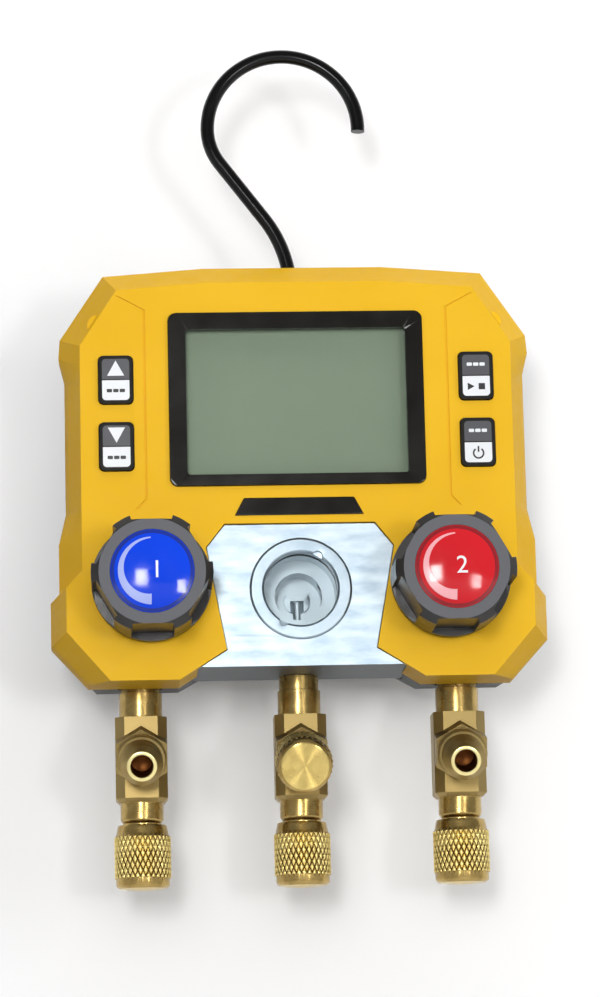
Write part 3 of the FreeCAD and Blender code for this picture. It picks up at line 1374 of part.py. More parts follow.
def screw(x, depth, z, shank, head_radius, head_height, length):
    """A socket screw driven from the rear: its head lies behind the given depth."""
    head = primitive("Cylinder", Radius=head_radius, Height=head_height)
    head.setExpression("Placement.Base.z", f"0 - {as_size(head_height).text}")
    body = primitive("Cylinder", Radius=shank, Height=length)
    socket = primitive("Prism", Circumradius=as_size(head_radius) * 0.5, Height=as_size(head_height) * 0.6)
    socket.Polygon = 6
    socket.setExpression("Placement.Base.z", f"0 - {as_size(head_height).text}")
    whole = joined("Cut", joined("Fuse", head, body), socket)
    place(whole, x, depth, z, FRONT)
    return whole


def make_screws():
    """Screws of the shells, of the block and of the board."""
    reach = S.case_depth - S.face_wall - 2 - WELL_DEPTH
    shell = [screw(x, WELL_DEPTH, z, S.screw_radius - THREAD_BITE, S.screw_head, SCREW_HEAD_HEIGHT, reach)
             for x, z in both_sides(boss_places())]
    group("shell_screws", shell)
    shank = S.screw_radius - S.turn_gap
    block = [screw(x, WELL_DEPTH, z, shank, S.screw_head, SCREW_HEAD_HEIGHT, BLOCK_SCREW_REACH)
             for x, z in both_sides(BLOCK_SCREWS)]
    group("block_screws", block)
    head_radius = BOARD_SCREW_RADIUS * 1.8
    board = [screw(x, S.board_depth, z, BOARD_SCREW_RADIUS, head_radius, BOARD_SCREW_HEAD, BOARD_SCREW_REACH)
             for x, z in both_sides(BOARD_SCREWS)]
    group("board_screws", board)


def cell_places():
    """Heights of the three cells."""
    return [S.bay_middle + S.cell_pitch * step for step in (-1, 0, 1)]


def cell_depth():
    """Depth of the cells' axes."""
    return S.bay_depth - S.seat_gap - S.cell_radius


def make_batteries():
    """Three cells, each with its button end, and the contact plates at both ends of the bay."""
    cells = []
    contacts = []
    nub = 0.8
    for step, z in enumerate(cell_places()):
        can = primitive("Cylinder", Radius=S.cell_radius, Height=CELL_LENGTH - nub)
        button = primitive("Cylinder", Radius=S.cell_radius * 0.35, Height=CELL_LENGTH)
        cell = joined("Fuse", can, button)
        facing = 1 if step % 2 == 0 else -1
        turn = FreeCAD.Rotation(Vector(0, 1, 0), 90 * facing)
        place(cell, CELL_LENGTH * (-0.5 * facing), cell_depth(), z, turn)
        cells.append(cell)
        for side in (1, -1):
            plate = primitive("Box", Length=CONTACT, Width=S.cell_radius * 1.6, Height=S.cell_radius * 1.7)
            spring = primitive("Cone", Radius1=S.cell_radius * 0.75, Radius2=S.cell_radius * 0.35)
            spring.setExpression("Height", (S.bay_half - CELL_LENGTH / 2 - CONTACT * 3).text)
            left = S.bay_half - CONTACT * 1.5 if side > 0 else -(S.bay_half - CONTACT * 0.5)
            place(plate, left, cell_depth() + S.cell_radius * 0.8, z - S.cell_radius * 0.85, UPRIGHT)
            inner = S.bay_half - CONTACT * 1.5
            place(spring, side * inner, cell_depth(), z, FreeCAD.Rotation(Vector(0, 1, 0), -90 * side))
            contacts.append(joined("Fuse", plate, spring))
    group("batteries", cells)
    group("battery_contacts", contacts)


def make_battery_door():
    """Door of the battery bay: a plate on two pegs at its lower edge, with a finger notch."""
    body = new_body("battery_door", turn=FRONT)
    width, height = door_size()
    plate = new_sketch(body, lift=S.door_sink)
    add_loop(plate, rectangle(as_size(0), S.bay_middle, width, height))
    slab = pad(body, plate, S.door_thickness)
    low = (S.bay_middle - height / 2).value
    rounded = [f"Edge{index}" for index, edge in enumerate(slab.Shape.Edges, start=1)
               if abs(edge.BoundBox.YMax - low) < 1e-4 and edge.Length > width.value / 2]
    fillet = body.newObject("PartDesign::Fillet", "battery_door_roll")
    fillet.Base = (slab, rounded)
    fillet.setExpression("Radius", (S.door_thickness * 0.48).text)
    doc.recompute()
    peg_depth, peg_height = peg_place()
    reach = width / 2 + S.pin_length
    pegs = new_sketch(body, "YZ_Plane", -reach)
    add_circle(pegs, peg_height, peg_depth, S.pin_radius)
    pad(body, pegs, reach * 2)
    notch = new_sketch(body, lift=S.door_sink + S.door_thickness / 2)
    top = S.bay_middle + height / 2
    add_loop(notch, rectangle(as_size(0), top - S.door_ledge, S.door_ledge * 5, S.door_ledge))
    cut_down(body, notch, S.door_thickness)


def check_and_export():
    """Stop on any failed object or bad shape, then write each sub-part to its own file."""
    doc.recompute()
    for item in doc.Objects:
        if any(word in ("Invalid", "Error") for word in item.State):
            raise RuntimeError(f"{item.Label} failed: {item.State}")
    for node in nodes:
        if node.Shape.isNull() or not node.Shape.isValid():
            raise RuntimeError(f"{node.Label} has no valid shape")
    os.makedirs("parts", exist_ok=True)
    for node in nodes:
        node.Shape.exportStep(f"parts/{node.Label}.step")


def main():
    """Build every sub-part and write the files."""
    make_sheet()
    make_front_shell()
    make_rear_cover()
    make_block()
    make_sight_glass()
    for side_name, side in (("low", -1), ("high", 1)):
        make_valve(side_name, side)
    make_display()
    make_board()
    make_buttons()
    for label, x in (("low_tee", -PORT_SPACING), ("centre_tee", as_size(0)), ("high_tee", PORT_SPACING)):
        make_tee(label, x)
    make_studs()
    make_caps()
    make_sensors()
    make_hook()
    make_screws()
    make_batteries()
    make_battery_door()
    check_and_export()


main()
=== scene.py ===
"""Studio look of a refrigerant manifold gauge: finishes, fine pieces, lights and camera.

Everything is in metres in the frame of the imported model: +Z is up as the gauge hangs on its hook, the
display faces -Y and the flat back lies on Y = 0. Names that end in _mm hold millimetres.
"""

import logging
import math
from collections.abc import Callable, Sequence
from dataclasses import dataclass
from enum import Enum, IntEnum

import bpy
from mathutils import Matrix, Vector

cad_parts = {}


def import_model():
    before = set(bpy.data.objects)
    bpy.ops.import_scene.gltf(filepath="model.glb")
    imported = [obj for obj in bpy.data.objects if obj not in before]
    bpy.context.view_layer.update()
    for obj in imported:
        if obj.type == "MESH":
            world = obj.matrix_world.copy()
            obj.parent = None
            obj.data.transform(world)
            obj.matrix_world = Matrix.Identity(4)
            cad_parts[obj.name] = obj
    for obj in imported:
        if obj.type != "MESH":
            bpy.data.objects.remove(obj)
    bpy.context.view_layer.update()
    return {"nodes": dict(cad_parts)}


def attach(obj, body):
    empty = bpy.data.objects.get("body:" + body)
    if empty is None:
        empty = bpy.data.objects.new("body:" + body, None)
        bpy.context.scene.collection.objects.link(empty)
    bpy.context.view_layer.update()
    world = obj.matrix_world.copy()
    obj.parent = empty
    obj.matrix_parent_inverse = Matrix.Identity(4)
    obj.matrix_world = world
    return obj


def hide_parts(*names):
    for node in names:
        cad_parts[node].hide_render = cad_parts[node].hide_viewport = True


LOG = logging.getLogger("manifold_gauge")
MM = 0.001
# Length of one band of the wave texture at a scale of one
WAVE_LENGTH = 0.314
# How far printed ink stands over what it is printed on
INK_MM = 0.02
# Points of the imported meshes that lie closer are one
SEAM_MM = 0.001
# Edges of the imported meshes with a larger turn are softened
EDGE_DEG = 28.0
Point = tuple[float, float]
Look = tuple[str, float]
Relief = Callable[[float, float, float], float]
Tree = bpy.types.NodeTree
Node = bpy.types.Node
Socket = bpy.types.NodeSocket


def linear(hex_code: str) -> tuple[float, float, float, float]:
    """Turn an sRGB hex colour into linear values.

    Args:
        hex_code: Six hex digits after a hash.

    Returns:
        Red, green and blue, with an alpha of one.
    """
    channels = [int(hex_code[start:start + 2], 16) / 255 for start in (1, 3, 5)]
    curved = [c / 12.92 if c <= 0.04045 else ((c + 0.055) / 1.055) ** 2.4 for c in channels]
    return (*curved, 1.0)


def add_node(tree: Tree, kind: str, inputs: dict | None = None, **settings) -> Node:
    """Add a shader node with its settings and links.

    Args:
        tree: The node tree that gets the node.
        kind: The node's type without its common prefix.
        inputs: A value or another node's output for each named or numbered input.
        **settings: Values for the node's own properties.

    Returns:
        The new node.
    """
    node = tree.nodes.new(f"ShaderNode{kind}")
    for name, value in settings.items():
        setattr(node, name, value)
    for key, value in (inputs or {}).items():
        if isinstance(value, Socket):
            tree.links.new(value, node.inputs[key])
        else:
            node.inputs[key].default_value = value
    return node


class Slot(Enum):
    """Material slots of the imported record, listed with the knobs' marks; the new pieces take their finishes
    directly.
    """

    BRASS = "brass"
    BLACK_GLOSS = "black_gloss"
    BLUE_INSERT = "blue_insert"
    RED_INSERT = "red_insert"
    BUTTON = "button"


class Side(Enum):
    """The two hand valves and their ports, by the sign of their X."""

    LOW = -1
    HIGH = 1

    @property
    def word(self) -> str:
        """The side's name as it starts the names of its nodes."""
        return self.name.lower()


@dataclass(frozen=True)
class Finish:
    """A surface made with one Principled shader.

    Attributes:
        name: The finish in a maker's plain words.
        colour: Base colour as sRGB hex.
        roughness: Roughness of the surface.
        second: Second colour, of its mottling, stains or clouds.
        metallic: One for metals.
        ior: Index of refraction; metals keep the default.
        coat: Weight of a clear glossy top coat.
        shine: Specular level; a fine grain hides part of the shine.
    """

    name: str
    colour: str
    roughness: float
    second: str = "#000000"
    metallic: float = 0.0
    ior: float = 1.5
    coat: float = 0.0
    shine: float = 0.5

    def material(self) -> bpy.types.Material:
        """The finish as a material, made once."""
        found = bpy.data.materials.get(self.name)
        if found is not None:
            return found
        made = bpy.data.materials.new(self.name)
        made.use_nodes = True
        tree = made.node_tree
        tree.nodes.clear()
        shader = add_node(tree, "BsdfPrincipled", {
            "Base Color": linear(self.colour), "Roughness": self.roughness, "Metallic": self.metallic,
            "IOR": self.ior, "Specular IOR Level": self.shine, "Coat Weight": self.coat,
            "Coat Roughness": 0.05,
        })
        place = add_node(tree, "TexCoord").outputs["Object"]
        add_node(tree, "OutputMaterial", {"Surface": self.dress(tree, shader, place)})
        return made

    def dress(self, tree: Tree, shader: Node, place: Socket) -> Socket:
        """Add the finish's pattern.

        Args:
            tree: The material's nodes.
            shader: Its Principled shader.
            place: Object coordinates in metres.

        Returns:
            What goes to the surface.
        """
        return shader.outputs[0]


def noise(tree: Tree, place: Socket, size_mm: float, detail: float = 2.0) -> Socket:
    """Noise whose lumps are about as large as asked, from zero to one."""
    node = add_node(tree, "TexNoise", {"Vector": place, "Scale": 1 / (size_mm * MM), "Detail": detail})
    return node.outputs[0]


def ramped(tree: Tree, source: Socket, low: float, high: float) -> Socket:
    """Spread the middle of a noise over a range of values."""
    inputs = {"Value": source, "From Min": 0.3, "From Max": 0.7, "To Min": low, "To Max": high}
    return add_node(tree, "MapRange", inputs).outputs[0]


def blended(tree: Tree, share: Socket, first: str, second: str) -> Socket:
    """Mix two hex colours by a share."""
    # A colour Mix node takes its colours at 6 and 7, and gives the result at 2
    inputs = {0: share, 6: linear(first), 7: linear(second)}
    return add_node(tree, "Mix", inputs, data_type="RGBA").outputs[2]


def computed(tree: Tree, operation: str, first: Socket, second: Socket | float) -> Socket:
    """Compare, multiply or otherwise join two values."""
    return add_node(tree, "Math", {0: first, 1: second}, operation=operation).outputs[0]


def part_of(tree: Tree, vector: Socket, axis: str) -> Socket:
    """One of a vector's X, Y and Z."""
    return add_node(tree, "SeparateXYZ", {0: vector}).outputs[axis]


def normal(tree: Tree) -> Socket:
    """Which way a surface faces in the frame."""
    return add_node(tree, "TexCoord").outputs["Normal"]


def mixed(tree: Tree, shader: Node, share: Socket, colour: str, roughness: float) -> None:
    """Lay a second colour and roughness over a patterned shader where a share is one.

    Args:
        tree: The material's nodes.
        shader: Its shader, with base colour and roughness linked.
        share: Where the second finish shows.
        colour: Its colour as sRGB hex.
        roughness: Its roughness.
    """
    # For each: its first input and its output on a Mix node of that kind
    layers = (("Base Color", linear(colour), "RGBA", 6, 2), ("Roughness", roughness, "FLOAT", 2, 0))
    for name, value, kind, first, result in layers:
        below = shader.inputs[name].links[0].from_socket
        over = add_node(tree, "Mix", {0: share, first: below, first + 1: value}, data_type=kind)
        tree.links.new(over.outputs[result], shader.inputs[name])


def bumped(tree: Tree, shader: Node, height: Socket, depth_mm: float) -> None:
    """Give a shader the relief of a height pattern that is as deep as asked."""
    relief = add_node(tree, "Bump", {"Height": height, "Distance": depth_mm * MM, "Strength": 1.0})
    tree.links.new(relief.outputs[0], shader.inputs["Normal"])


@dataclass(frozen=True)
class Moulded(Finish):
    """Injection moulded plastic: the spark-eroded tool leaves a fine even grain and faint flow tones.

    Attributes:
        grain_mm: Size of the grain.
        depth_mm: Depth of the grain.
        patch_mm: Size of the mottling.
    """

    grain_mm: float = 0.5
    depth_mm: float = 0.01
    patch_mm: float = 28.0

    def dress(self, tree: Tree, shader: Node, place: Socket) -> Socket:
        """Add the mottling, the grain and the uneven gloss that comes with it."""
        patches = ramped(tree, noise(tree, place, self.patch_mm), 0.0, 1.0)
        tree.links.new(blended(tree, patches, self.colour, self.second), shader.inputs["Base Color"])
        uneven = noise(tree, place, self.grain_mm * 6)
        gloss = ramped(tree, uneven, self.roughness - 0.05, self.roughness + 0.06)
        tree.links.new(gloss, shader.inputs["Roughness"])
        bumped(tree, shader, noise(tree, place, self.grain_mm, 3.0), self.depth_mm)
        return shader.outputs[0]


@dataclass(frozen=True)
class Backdrop(Moulded):
    """Background paper that is only seen from its front and lets the lamps' light through.

    Attributes:
        glow: What the paper's own white adds where it is seen.
        far_glow: What it adds far from the gauge, where the lamps don't reach.
        near: Distance in metres where that begins.
        far: Distance in metres where it is full.
        bounce: Its colour for the light that it throws back at the gauge.
    """

    glow: float = 0.1
    far_glow: float = 0.62
    near: float = 1.6
    far: float = 3.0
    bounce: str = "#8C8C8C"

    def dress(self, tree: Tree, shader: Node, place: Socket) -> Socket:
        """Open the paper for shadows and for all that comes from behind, and lift it where it is seen."""
        lit = super().dress(tree, shader, place)
        rays = add_node(tree, "LightPath").outputs
        seen = computed(tree, "MAXIMUM", rays["Is Camera Ray"], rays["Is Glossy Ray"])
        seen = computed(tree, "MAXIMUM", seen, rays["Is Transmission Ray"])
        white = shader.inputs["Base Color"].links[0].from_socket
        colours = {0: seen, 6: linear(self.bounce), 7: white}
        shown = add_node(tree, "Mix", colours, data_type="RGBA").outputs[2]
        tree.links.new(shown, shader.inputs["Base Color"])
        reach = add_node(tree, "VectorMath", {0: place}, operation="LENGTH").outputs[1]
        own = add_node(tree, "MapRange", {
            "Value": reach, "From Min": self.near, "From Max": self.far,
            "To Min": self.glow, "To Max": self.far_glow,
        }).outputs[0]
        glow = add_node(tree, "Emission", {"Strength": computed(tree, "MULTIPLY", seen, own)})
        paper = add_node(tree, "AddShader", {0: lit, 1: glow.outputs[0]}).outputs[0]
        behind = add_node(tree, "NewGeometry").outputs["Backfacing"]
        opened = computed(tree, "MAXIMUM", behind, rays["Is Shadow Ray"])
        clear = add_node(tree, "BsdfTransparent").outputs[0]
        return add_node(tree, "MixShader", {0: opened, 1: paper, 2: clear}).outputs[0]


@dataclass(frozen=True)
class FrontLitMoulded(Moulded):
    """Moulded plastic with painted light: what squarely faces the front is painted a lighter, duller grey, and
    the sides stay dark and shiny.

    Attributes:
        front: Colour and roughness painted on the front face as painted light.
        front_mm: Depth from which what faces the front gets the painted light.
        square: How squarely a face has to face the front, as a cosine.
    """

    front: Look = ("#56575C", 0.55)
    front_mm: float = 50.0
    square: float = 0.95

    def dress(self, tree: Tree, shader: Node, place: Socket) -> Socket:
        """Mix in the painted light on the front."""
        lit = super().dress(tree, shader, place)
        level = computed(tree, "LESS_THAN", part_of(tree, normal(tree), "Y"), -self.square)
        ahead = computed(tree, "LESS_THAN", part_of(tree, place, "Y"), -self.front_mm * MM)
        # The lighter grey on the front faces is painted light
        mixed(tree, shader, computed(tree, "MULTIPLY", level, ahead), *self.front)
        return lit


@dataclass(frozen=True)
class Turned(Finish):
    """Metal turned on a lathe: the tool leaves fine rings round the axis, and handling leaves faint stains.

    Attributes:
        stain_mm: Size of the stained places.
        polish_mm: Size of the places with more and with less polish.
        ring_mm: Pitch of the rings; finer ones wouldn't show.
        depth_mm: Depth of the rings.
    """

    metallic: float = 1.0
    stain_mm: float = 3.5
    polish_mm: float = 4.0
    ring_mm: float = 0.45
    depth_mm: float = 0.002

    def dress(self, tree: Tree, shader: Node, place: Socket) -> Socket:
        """Add rings across the axis, stains and uneven polish."""
        rings = add_node(tree, "TexWave", {
            "Vector": place, "Scale": WAVE_LENGTH / (self.ring_mm * MM), "Distortion": 0.6, "Detail": 1.0,
        }, bands_direction="Z").outputs[1]
        share = ramped(tree, noise(tree, place, self.stain_mm, 4.0), 0.0, 0.8)
        tree.links.new(blended(tree, share, self.colour, self.second), shader.inputs["Base Color"])
        uneven = noise(tree, place, self.polish_mm)
        polish = ramped(tree, uneven, self.roughness - 0.02, self.roughness + 0.04)
        tree.links.new(polish, shader.inputs["Roughness"])
        bumped(tree, shader, rings, self.depth_mm)
        return shader.outputs[0]


@dataclass(frozen=True)
class Forged(Turned):
    """Hot stamped brass with turned ends: the body between them keeps the dull skin of the die.

    Attributes:
        skin: Colour and roughness of the stamped body.
        foot_mm: Height of the body's lower end.
        top_mm: Height of its upper end.
    """

    skin: Look = ("#9C8756", 0.42)
    foot_mm: float = -53.4
    top_mm: float = -30.9

    def dress(self, tree: Tree, shader: Node, place: Socket) -> Socket:
        """Mix the dull skin in between the two heights."""
        lit = super().dress(tree, shader, place)
        height = part_of(tree, place, "Z")
        over = computed(tree, "GREATER_THAN", height, self.foot_mm * MM)
        under = computed(tree, "LESS_THAN", height, self.top_mm * MM)
        mixed(tree, shader, computed(tree, "MULTIPLY", over, under), *self.skin)
        return lit


@dataclass(frozen=True)
class Faced(Turned):
    """Metal faced on a lathe: rings too fine to draw stretch each light into a wedge.

    Attributes:
        stretch: How far the rings stretch the reflections.
    """

    stretch: float = 0.94

    def dress(self, tree: Tree, shader: Node, place: Socket) -> Socket:
        """Stretch the shine across the rings."""
        lit = super().dress(tree, shader, place)
        shader.inputs["Anisotropic"].default_value = self.stretch
        # A quarter turn takes the stretch from along the rings to across them
        shader.inputs["Anisotropic Rotation"].default_value = 0.25
        along = add_node(tree, "Tangent", direction_type="RADIAL", axis="Z")
        tree.links.new(along.outputs[0], shader.inputs["Tangent"])
        return lit


@dataclass(frozen=True)
class Milled(Finish):
    """Metal faced with a mill: long fine scratches along the travel, with a slightly cloudy sheen.

    Attributes:
        cloud_mm: Height of the patches.
        cloud_squash: Their height as a share of their length.
        painted_dark_underside: Colour and roughness painted on the downward faces as painted shade and a
            painted dark reflection.
        bored: Colour and roughness inside the bored sight chamber.
        streak_mm: Width of the scratches.
        length_mm: Length of the scratches.
        depth_mm: Depth of the scratches.
        bore_mm: Radius of the chamber, whose axis is the frame's Y.
    """

    metallic: float = 1.0
    cloud_mm: float = 2.6
    cloud_squash: float = 0.35
    painted_dark_underside: Look = ("#5E6367", 0.5)
    bored: Look = ("#B0BBC2", 0.3)
    streak_mm: float = 0.35
    length_mm: float = 14.0
    depth_mm: float = 0.002
    bore_mm: float = 9.72

    def dress(self, tree: Tree, shader: Node, place: Socket) -> Socket:
        """Add scratches along X and cloudy patches, and mix in the painted shade of the underside and the
        chamber.
        """
        scale = (1 / (self.length_mm * MM), 1 / (self.streak_mm * MM), 1 / (self.streak_mm * MM))
        stretched = add_node(tree, "Mapping", {"Vector": place, "Scale": scale}).outputs[0]
        streaks = add_node(tree, "TexNoise", {"Vector": stretched, "Scale": 1.0, "Detail": 3.0}).outputs[0]
        squash = (self.cloud_squash, 1.0, 1.0)
        broad = add_node(tree, "Mapping", {"Vector": place, "Scale": squash}).outputs[0]
        clouds = ramped(tree, noise(tree, broad, self.cloud_mm, 4.0), 0.0, 0.75)
        tree.links.new(blended(tree, clouds, self.colour, self.second), shader.inputs["Base Color"])
        sheen = ramped(tree, streaks, self.roughness - 0.05, self.roughness + 0.06)
        tree.links.new(sheen, shader.inputs["Roughness"])
        # The downward faces are painted dark, as painted shade and a painted dark reflection
        under = computed(tree, "LESS_THAN", part_of(tree, normal(tree), "Z"), -0.7)
        mixed(tree, shader, under, *self.painted_dark_underside)
        level = add_node(tree, "Mapping", {"Vector": place, "Scale": (1.0, 0.0, 1.0)}).outputs[0]
        reach = add_node(tree, "VectorMath", {0: level}, operation="LENGTH").outputs[1]
        inside = computed(tree, "LESS_THAN", reach, self.bore_mm * MM)
        mixed(tree, shader, inside, *self.bored)
        bumped(tree, shader, streaks, self.depth_mm)
        return shader.outputs[0]


@dataclass(frozen=True)
class Clear(Finish):
    """Polished clear glass or acrylic with a breath of haze; light passes through it to what lies behind.

    Attributes:
        haze_mm: Size of the hazy places.
    """

    haze_mm: float = 30.0

    def dress(self, tree: Tree, shader: Node, place: Socket) -> Socket:
        """Make the shader transmit light and let shadow rays through."""
        shader.inputs["Transmission Weight"].default_value = 1.0
        marks = ramped(tree, noise(tree, place, self.haze_mm), self.roughness, self.roughness + 0.01)
        tree.links.new(marks, shader.inputs["Roughness"])
        clear = add_node(tree, "BsdfTransparent", {"Color": linear(self.colour)})
        shadow = add_node(tree, "LightPath").outputs["Is Shadow Ray"]
        both = add_node(tree, "MixShader", {0: shadow, 1: shader.outputs[0], 2: clear.outputs[0]})
        return both.outputs[0]


# Matt white background paper
PAPER = Backdrop("white_matt_paper", "#F3F3F3", 0.9, "#F1F1F1", patch_mm=300.0, grain_mm=3.0)
# Yellow ABS, injection moulded: satin, with a warm even colour and a fine grain
YELLOW_ABS = Moulded("yellow_moulded_abs", "#EDBA22", 0.5, "#E8B41A", ior=1.54, shine=0.12, grain_mm=0.45)
# Black ABS of the rear half: coarser grain, so it looks duller
BLACK_ABS = Moulded("black_moulded_abs", "#1D1D1E", 0.5, "#242425", ior=1.54, grain_mm=0.8, depth_mm=0.03)
# Glass-filled nylon of the hand knobs: nearly black, with painted light that makes the lugs' fronts a dull
# grey
KNOB_NYLON = FrontLitMoulded("dark_moulded_nylon", "#1F1C1B", 0.34, "#1A1817", ior=1.53, grain_mm=0.6,
                     depth_mm=0.015)
# Smooth black acrylic round the display: glossy, nearly without grain
BEZEL_ACRYLIC = Moulded("black_smooth_acrylic", "#0E0C08", 0.2, "#12100B", ior=1.49, shine=0.3,
                        grain_mm=1.5, depth_mm=0.002)
# Domed epoxy over a printed face: wet-looking colour
BLUE_DOME = Moulded("blue_domed_resin", "#0044E6", 0.1, "#003EDA", coat=0.1, shine=0.35, depth_mm=0.001)
RED_DOME = Moulded("red_domed_resin", "#D41D27", 0.1, "#C81923", coat=0.1, shine=0.35, depth_mm=0.001)
# Inks under or on the resin and the keys
DEEP_BLUE_INK = Moulded("deep_blue_printed_ink", "#062A96", 0.15, "#05268A", coat=0.6, depth_mm=0.001)
DEEP_RED_INK = Moulded("deep_red_printed_ink", "#8E0F1C", 0.15, "#860D19", coat=0.6, depth_mm=0.001)
PALE_BLUE_INK = Moulded("pale_blue_printed_ink", "#AEBBF6", 0.2, "#A6B3F2", coat=0.6, depth_mm=0.001)
PALE_RED_INK = Moulded("pale_red_printed_ink", "#F6B3B8", 0.2, "#F2AAB0", coat=0.6, depth_mm=0.001)
WHITE_INK = Moulded("white_printed_ink", "#EDEFF2", 0.35, "#E4E7EA", grain_mm=0.4, depth_mm=0.002)
BLACK_INK = Moulded("black_printed_ink", "#1B1B1D", 0.35, "#202022", grain_mm=0.4, depth_mm=0.002)
KEY_INK = Moulded("grey_printed_ink", "#4C4D51", 0.4, "#47484C", grain_mm=0.4, depth_mm=0.002)
# Silicone of the key mats and nitrile of the seals: soft and dull
SILICONE = Moulded("grey_moulded_silicone", "#55575A", 0.6, "#4E5053", ior=1.41, grain_mm=0.3)
NITRILE = Moulded("black_moulded_nitrile", "#101010", 0.65, "#161616", ior=1.52, grain_mm=0.3)
# Key caps of black ABS, and the turned acetal bush of the hook
KEY_ABS = Moulded("dark_moulded_key", "#0E0C0A", 0.5, "#12100E", ior=1.54, shine=0.2, grain_mm=0.4)
ACETAL = Moulded("ivory_turned_acetal", "#D8D4C8", 0.45, "#CFCABD", ior=1.48, grain_mm=0.4)
# Reflective liquid crystal cell, switched off: flat grey-green
LCD_CELL = Moulded("grey_green_liquid_crystal", "#74826F", 0.5, "#707E6B", ior=1.52, shine=0.0,
                   patch_mm=40.0, grain_mm=0.3, depth_mm=0.0001)
# Solder mask over copper: the tracks show as faint relief
SOLDER_MASK = Moulded("green_solder_mask", "#0F4A2A", 0.3, "#0A3B20", ior=1.52, grain_mm=1.4, depth_mm=0.03,
                      patch_mm=4.0)
# Shrink sleeve on the battery cells
CELL_SLEEVE = Moulded("blue_grey_shrink_sleeve", "#3A4A57", 0.3, "#33424E", grain_mm=2.0)
# Steel wire, powder coated black: glossy with a slight orange peel
COATED_STEEL = Moulded("black_coated_steel", "#030303", 0.22, "#050505", shine=0.25, grain_mm=1.6,
                       depth_mm=0.008)
# Free-cutting brass, turned and left bright: yellow with brownish stains from handling
BRASS = Turned("bright_turned_brass", "#C0A566", 0.26, "#947A46")
# Tee bodies: stamped hot, so duller and browner than their turned ends
TEE_BRASS = Forged("stamped_tee_brass", "#C0A566", 0.26, "#947A46")
# Crests of the knurl are painted pale as a painted highlight, and its grooves dark brown as old grease and
# painted shade
KNURL_HIGHLIGHT_BRASS = Turned("bright_knurl_crest_brass", "#FFE898", 0.36, "#EED27A")
KNURL_SHADE_BRASS = Turned("greasy_knurl_groove_brass", "#6A4E26", 0.5, "#543C1A")
# Closed ends of the caps: faced on the lathe, which shows as wedges of light
FACED_BRASS = Faced("faced_end_brass", "#DCC47A", 0.25, "#CCB068")
# Branches: thread and cone are dull, only the edge that seals is bright, and the bore is darker
BRANCH_BRASS = Turned("dull_branch_brass", "#AC9764", 0.42, "#8C7648")
NOSE_BRASS = Turned("polished_nose_brass", "#F4E6A8", 0.3, "#EBDA94")
BORE_BRASS = Turned("dark_bore_brass", "#7A4A24", 0.4, "#4A2A14")
# Nickel plated steel of screws, sensors and stems
PLATED_STEEL = Turned("plated_turned_steel", "#C9CACC", 0.25, "#B4B5B8", ring_mm=0.3)
# Aluminium block: milled all round, so pale and slightly cloudy, with its underside painted dark as painted
# shade
MILLED_ALUMINIUM = Milled("milled_aluminium", "#C6D3DA", 0.42, "#94A8BA")
TURNED_ALUMINIUM = Turned("turned_aluminium_ring", "#AEBCC5", 0.34, "#97A8B4")
# Sight glass and display window
SIGHT_GLASS = Clear("polished_sight_glass", "#FAFCFC", 0.0, ior=1.45)
LENS_ACRYLIC = Clear("clear_display_acrylic", "#FFFFFF", 0.02, ior=1.3)

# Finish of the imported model's nodes, and the width in millimetres of the soft edge that tool or mould leaves
LOOKS: tuple[tuple[Finish, float, str], ...] = (
    (YELLOW_ABS, 0.45, "front_shell"),
    (BLACK_ABS, 0.25, "rear_cover battery_door"),
    (BEZEL_ACRYLIC, 0.3, "display_bezel"),
    (LENS_ACRYLIC, 0.0, "lcd_window"),
    (LCD_CELL, 0.0, "lcd_module"),
    (SOLDER_MASK, 0.0, "circuit_board"),
    (CELL_SLEEVE, 0.0, "batteries"),
    (KEY_ABS, 0.4, "button_left_upper button_left_lower button_right_upper button_right_lower"),
    (SILICONE, 0.0, "left_key_mat right_key_mat"),
    (MILLED_ALUMINIUM, 0.3, "manifold_block"),
    (TURNED_ALUMINIUM, 0.2, "sight_ring"),
    (SIGHT_GLASS, 0.0, "sight_window"),
    (KNOB_NYLON, 0.35, "low_knob high_knob"),
    (BLUE_DOME, 0.0, "low_insert"),
    (RED_DOME, 0.0, "high_insert"),
    (BRASS, 0.2, "low_bonnet high_bonnet"),
    (BRASS, 0.0, "low_plunger high_plunger"),
    (TEE_BRASS, 0.3, "low_tee centre_tee high_tee"),
    (BRANCH_BRASS, 0.0, "charge_port valve_core"),
    (NITRILE, 0.0, "low_cap_gasket centre_cap_gasket high_cap_gasket charge_cap_gasket"),
    (NITRILE, 0.0, "sight_seal low_stem_seal high_stem_seal"),
    (PLATED_STEEL, 0.0, "shell_screws block_screws board_screws low_knob_screw high_knob_screw"),
    (PLATED_STEEL, 0.0, "low_stem high_stem low_sensor high_sensor battery_contacts hook_clip"),
    (COATED_STEEL, 0.0, "hook"),
    (ACETAL, 0.0, "hook_bush"),
)
# Ink of the rim, ink of the scale, slot and figure of the two knobs' inserts
MARKS = {
    Side.LOW: (DEEP_BLUE_INK, PALE_BLUE_INK, Slot.BLUE_INSERT, "1"),
    Side.HIGH: (DEEP_RED_INK, PALE_RED_INK, Slot.RED_INSERT, "2"),
}


def placed(name: str, data: bpy.types.ID) -> bpy.types.Object:
    """Make an object of its data and put it into the scene."""
    made = bpy.data.objects.new(name, data)
    bpy.context.scene.collection.objects.link(made)
    return made


def direction(azimuth_deg: float, elevation_deg: float) -> Vector:
    """Which way an azimuth and an elevation lead from the gauge; both zero is straight ahead of it."""
    azimuth, elevation = math.radians(azimuth_deg), math.radians(elevation_deg)
    return Vector((math.sin(azimuth) * math.cos(elevation), -math.cos(azimuth) * math.cos(elevation),
                   math.sin(elevation)))


def bevelled(part: bpy.types.Object, width_mm: float, segments: int) -> bpy.types.Modifier:
    """Soften an object's edges."""
    bevel = part.modifiers.new("soft_edges", "BEVEL")
    bevel.width = width_mm * MM
    bevel.segments = segments
    return bevel


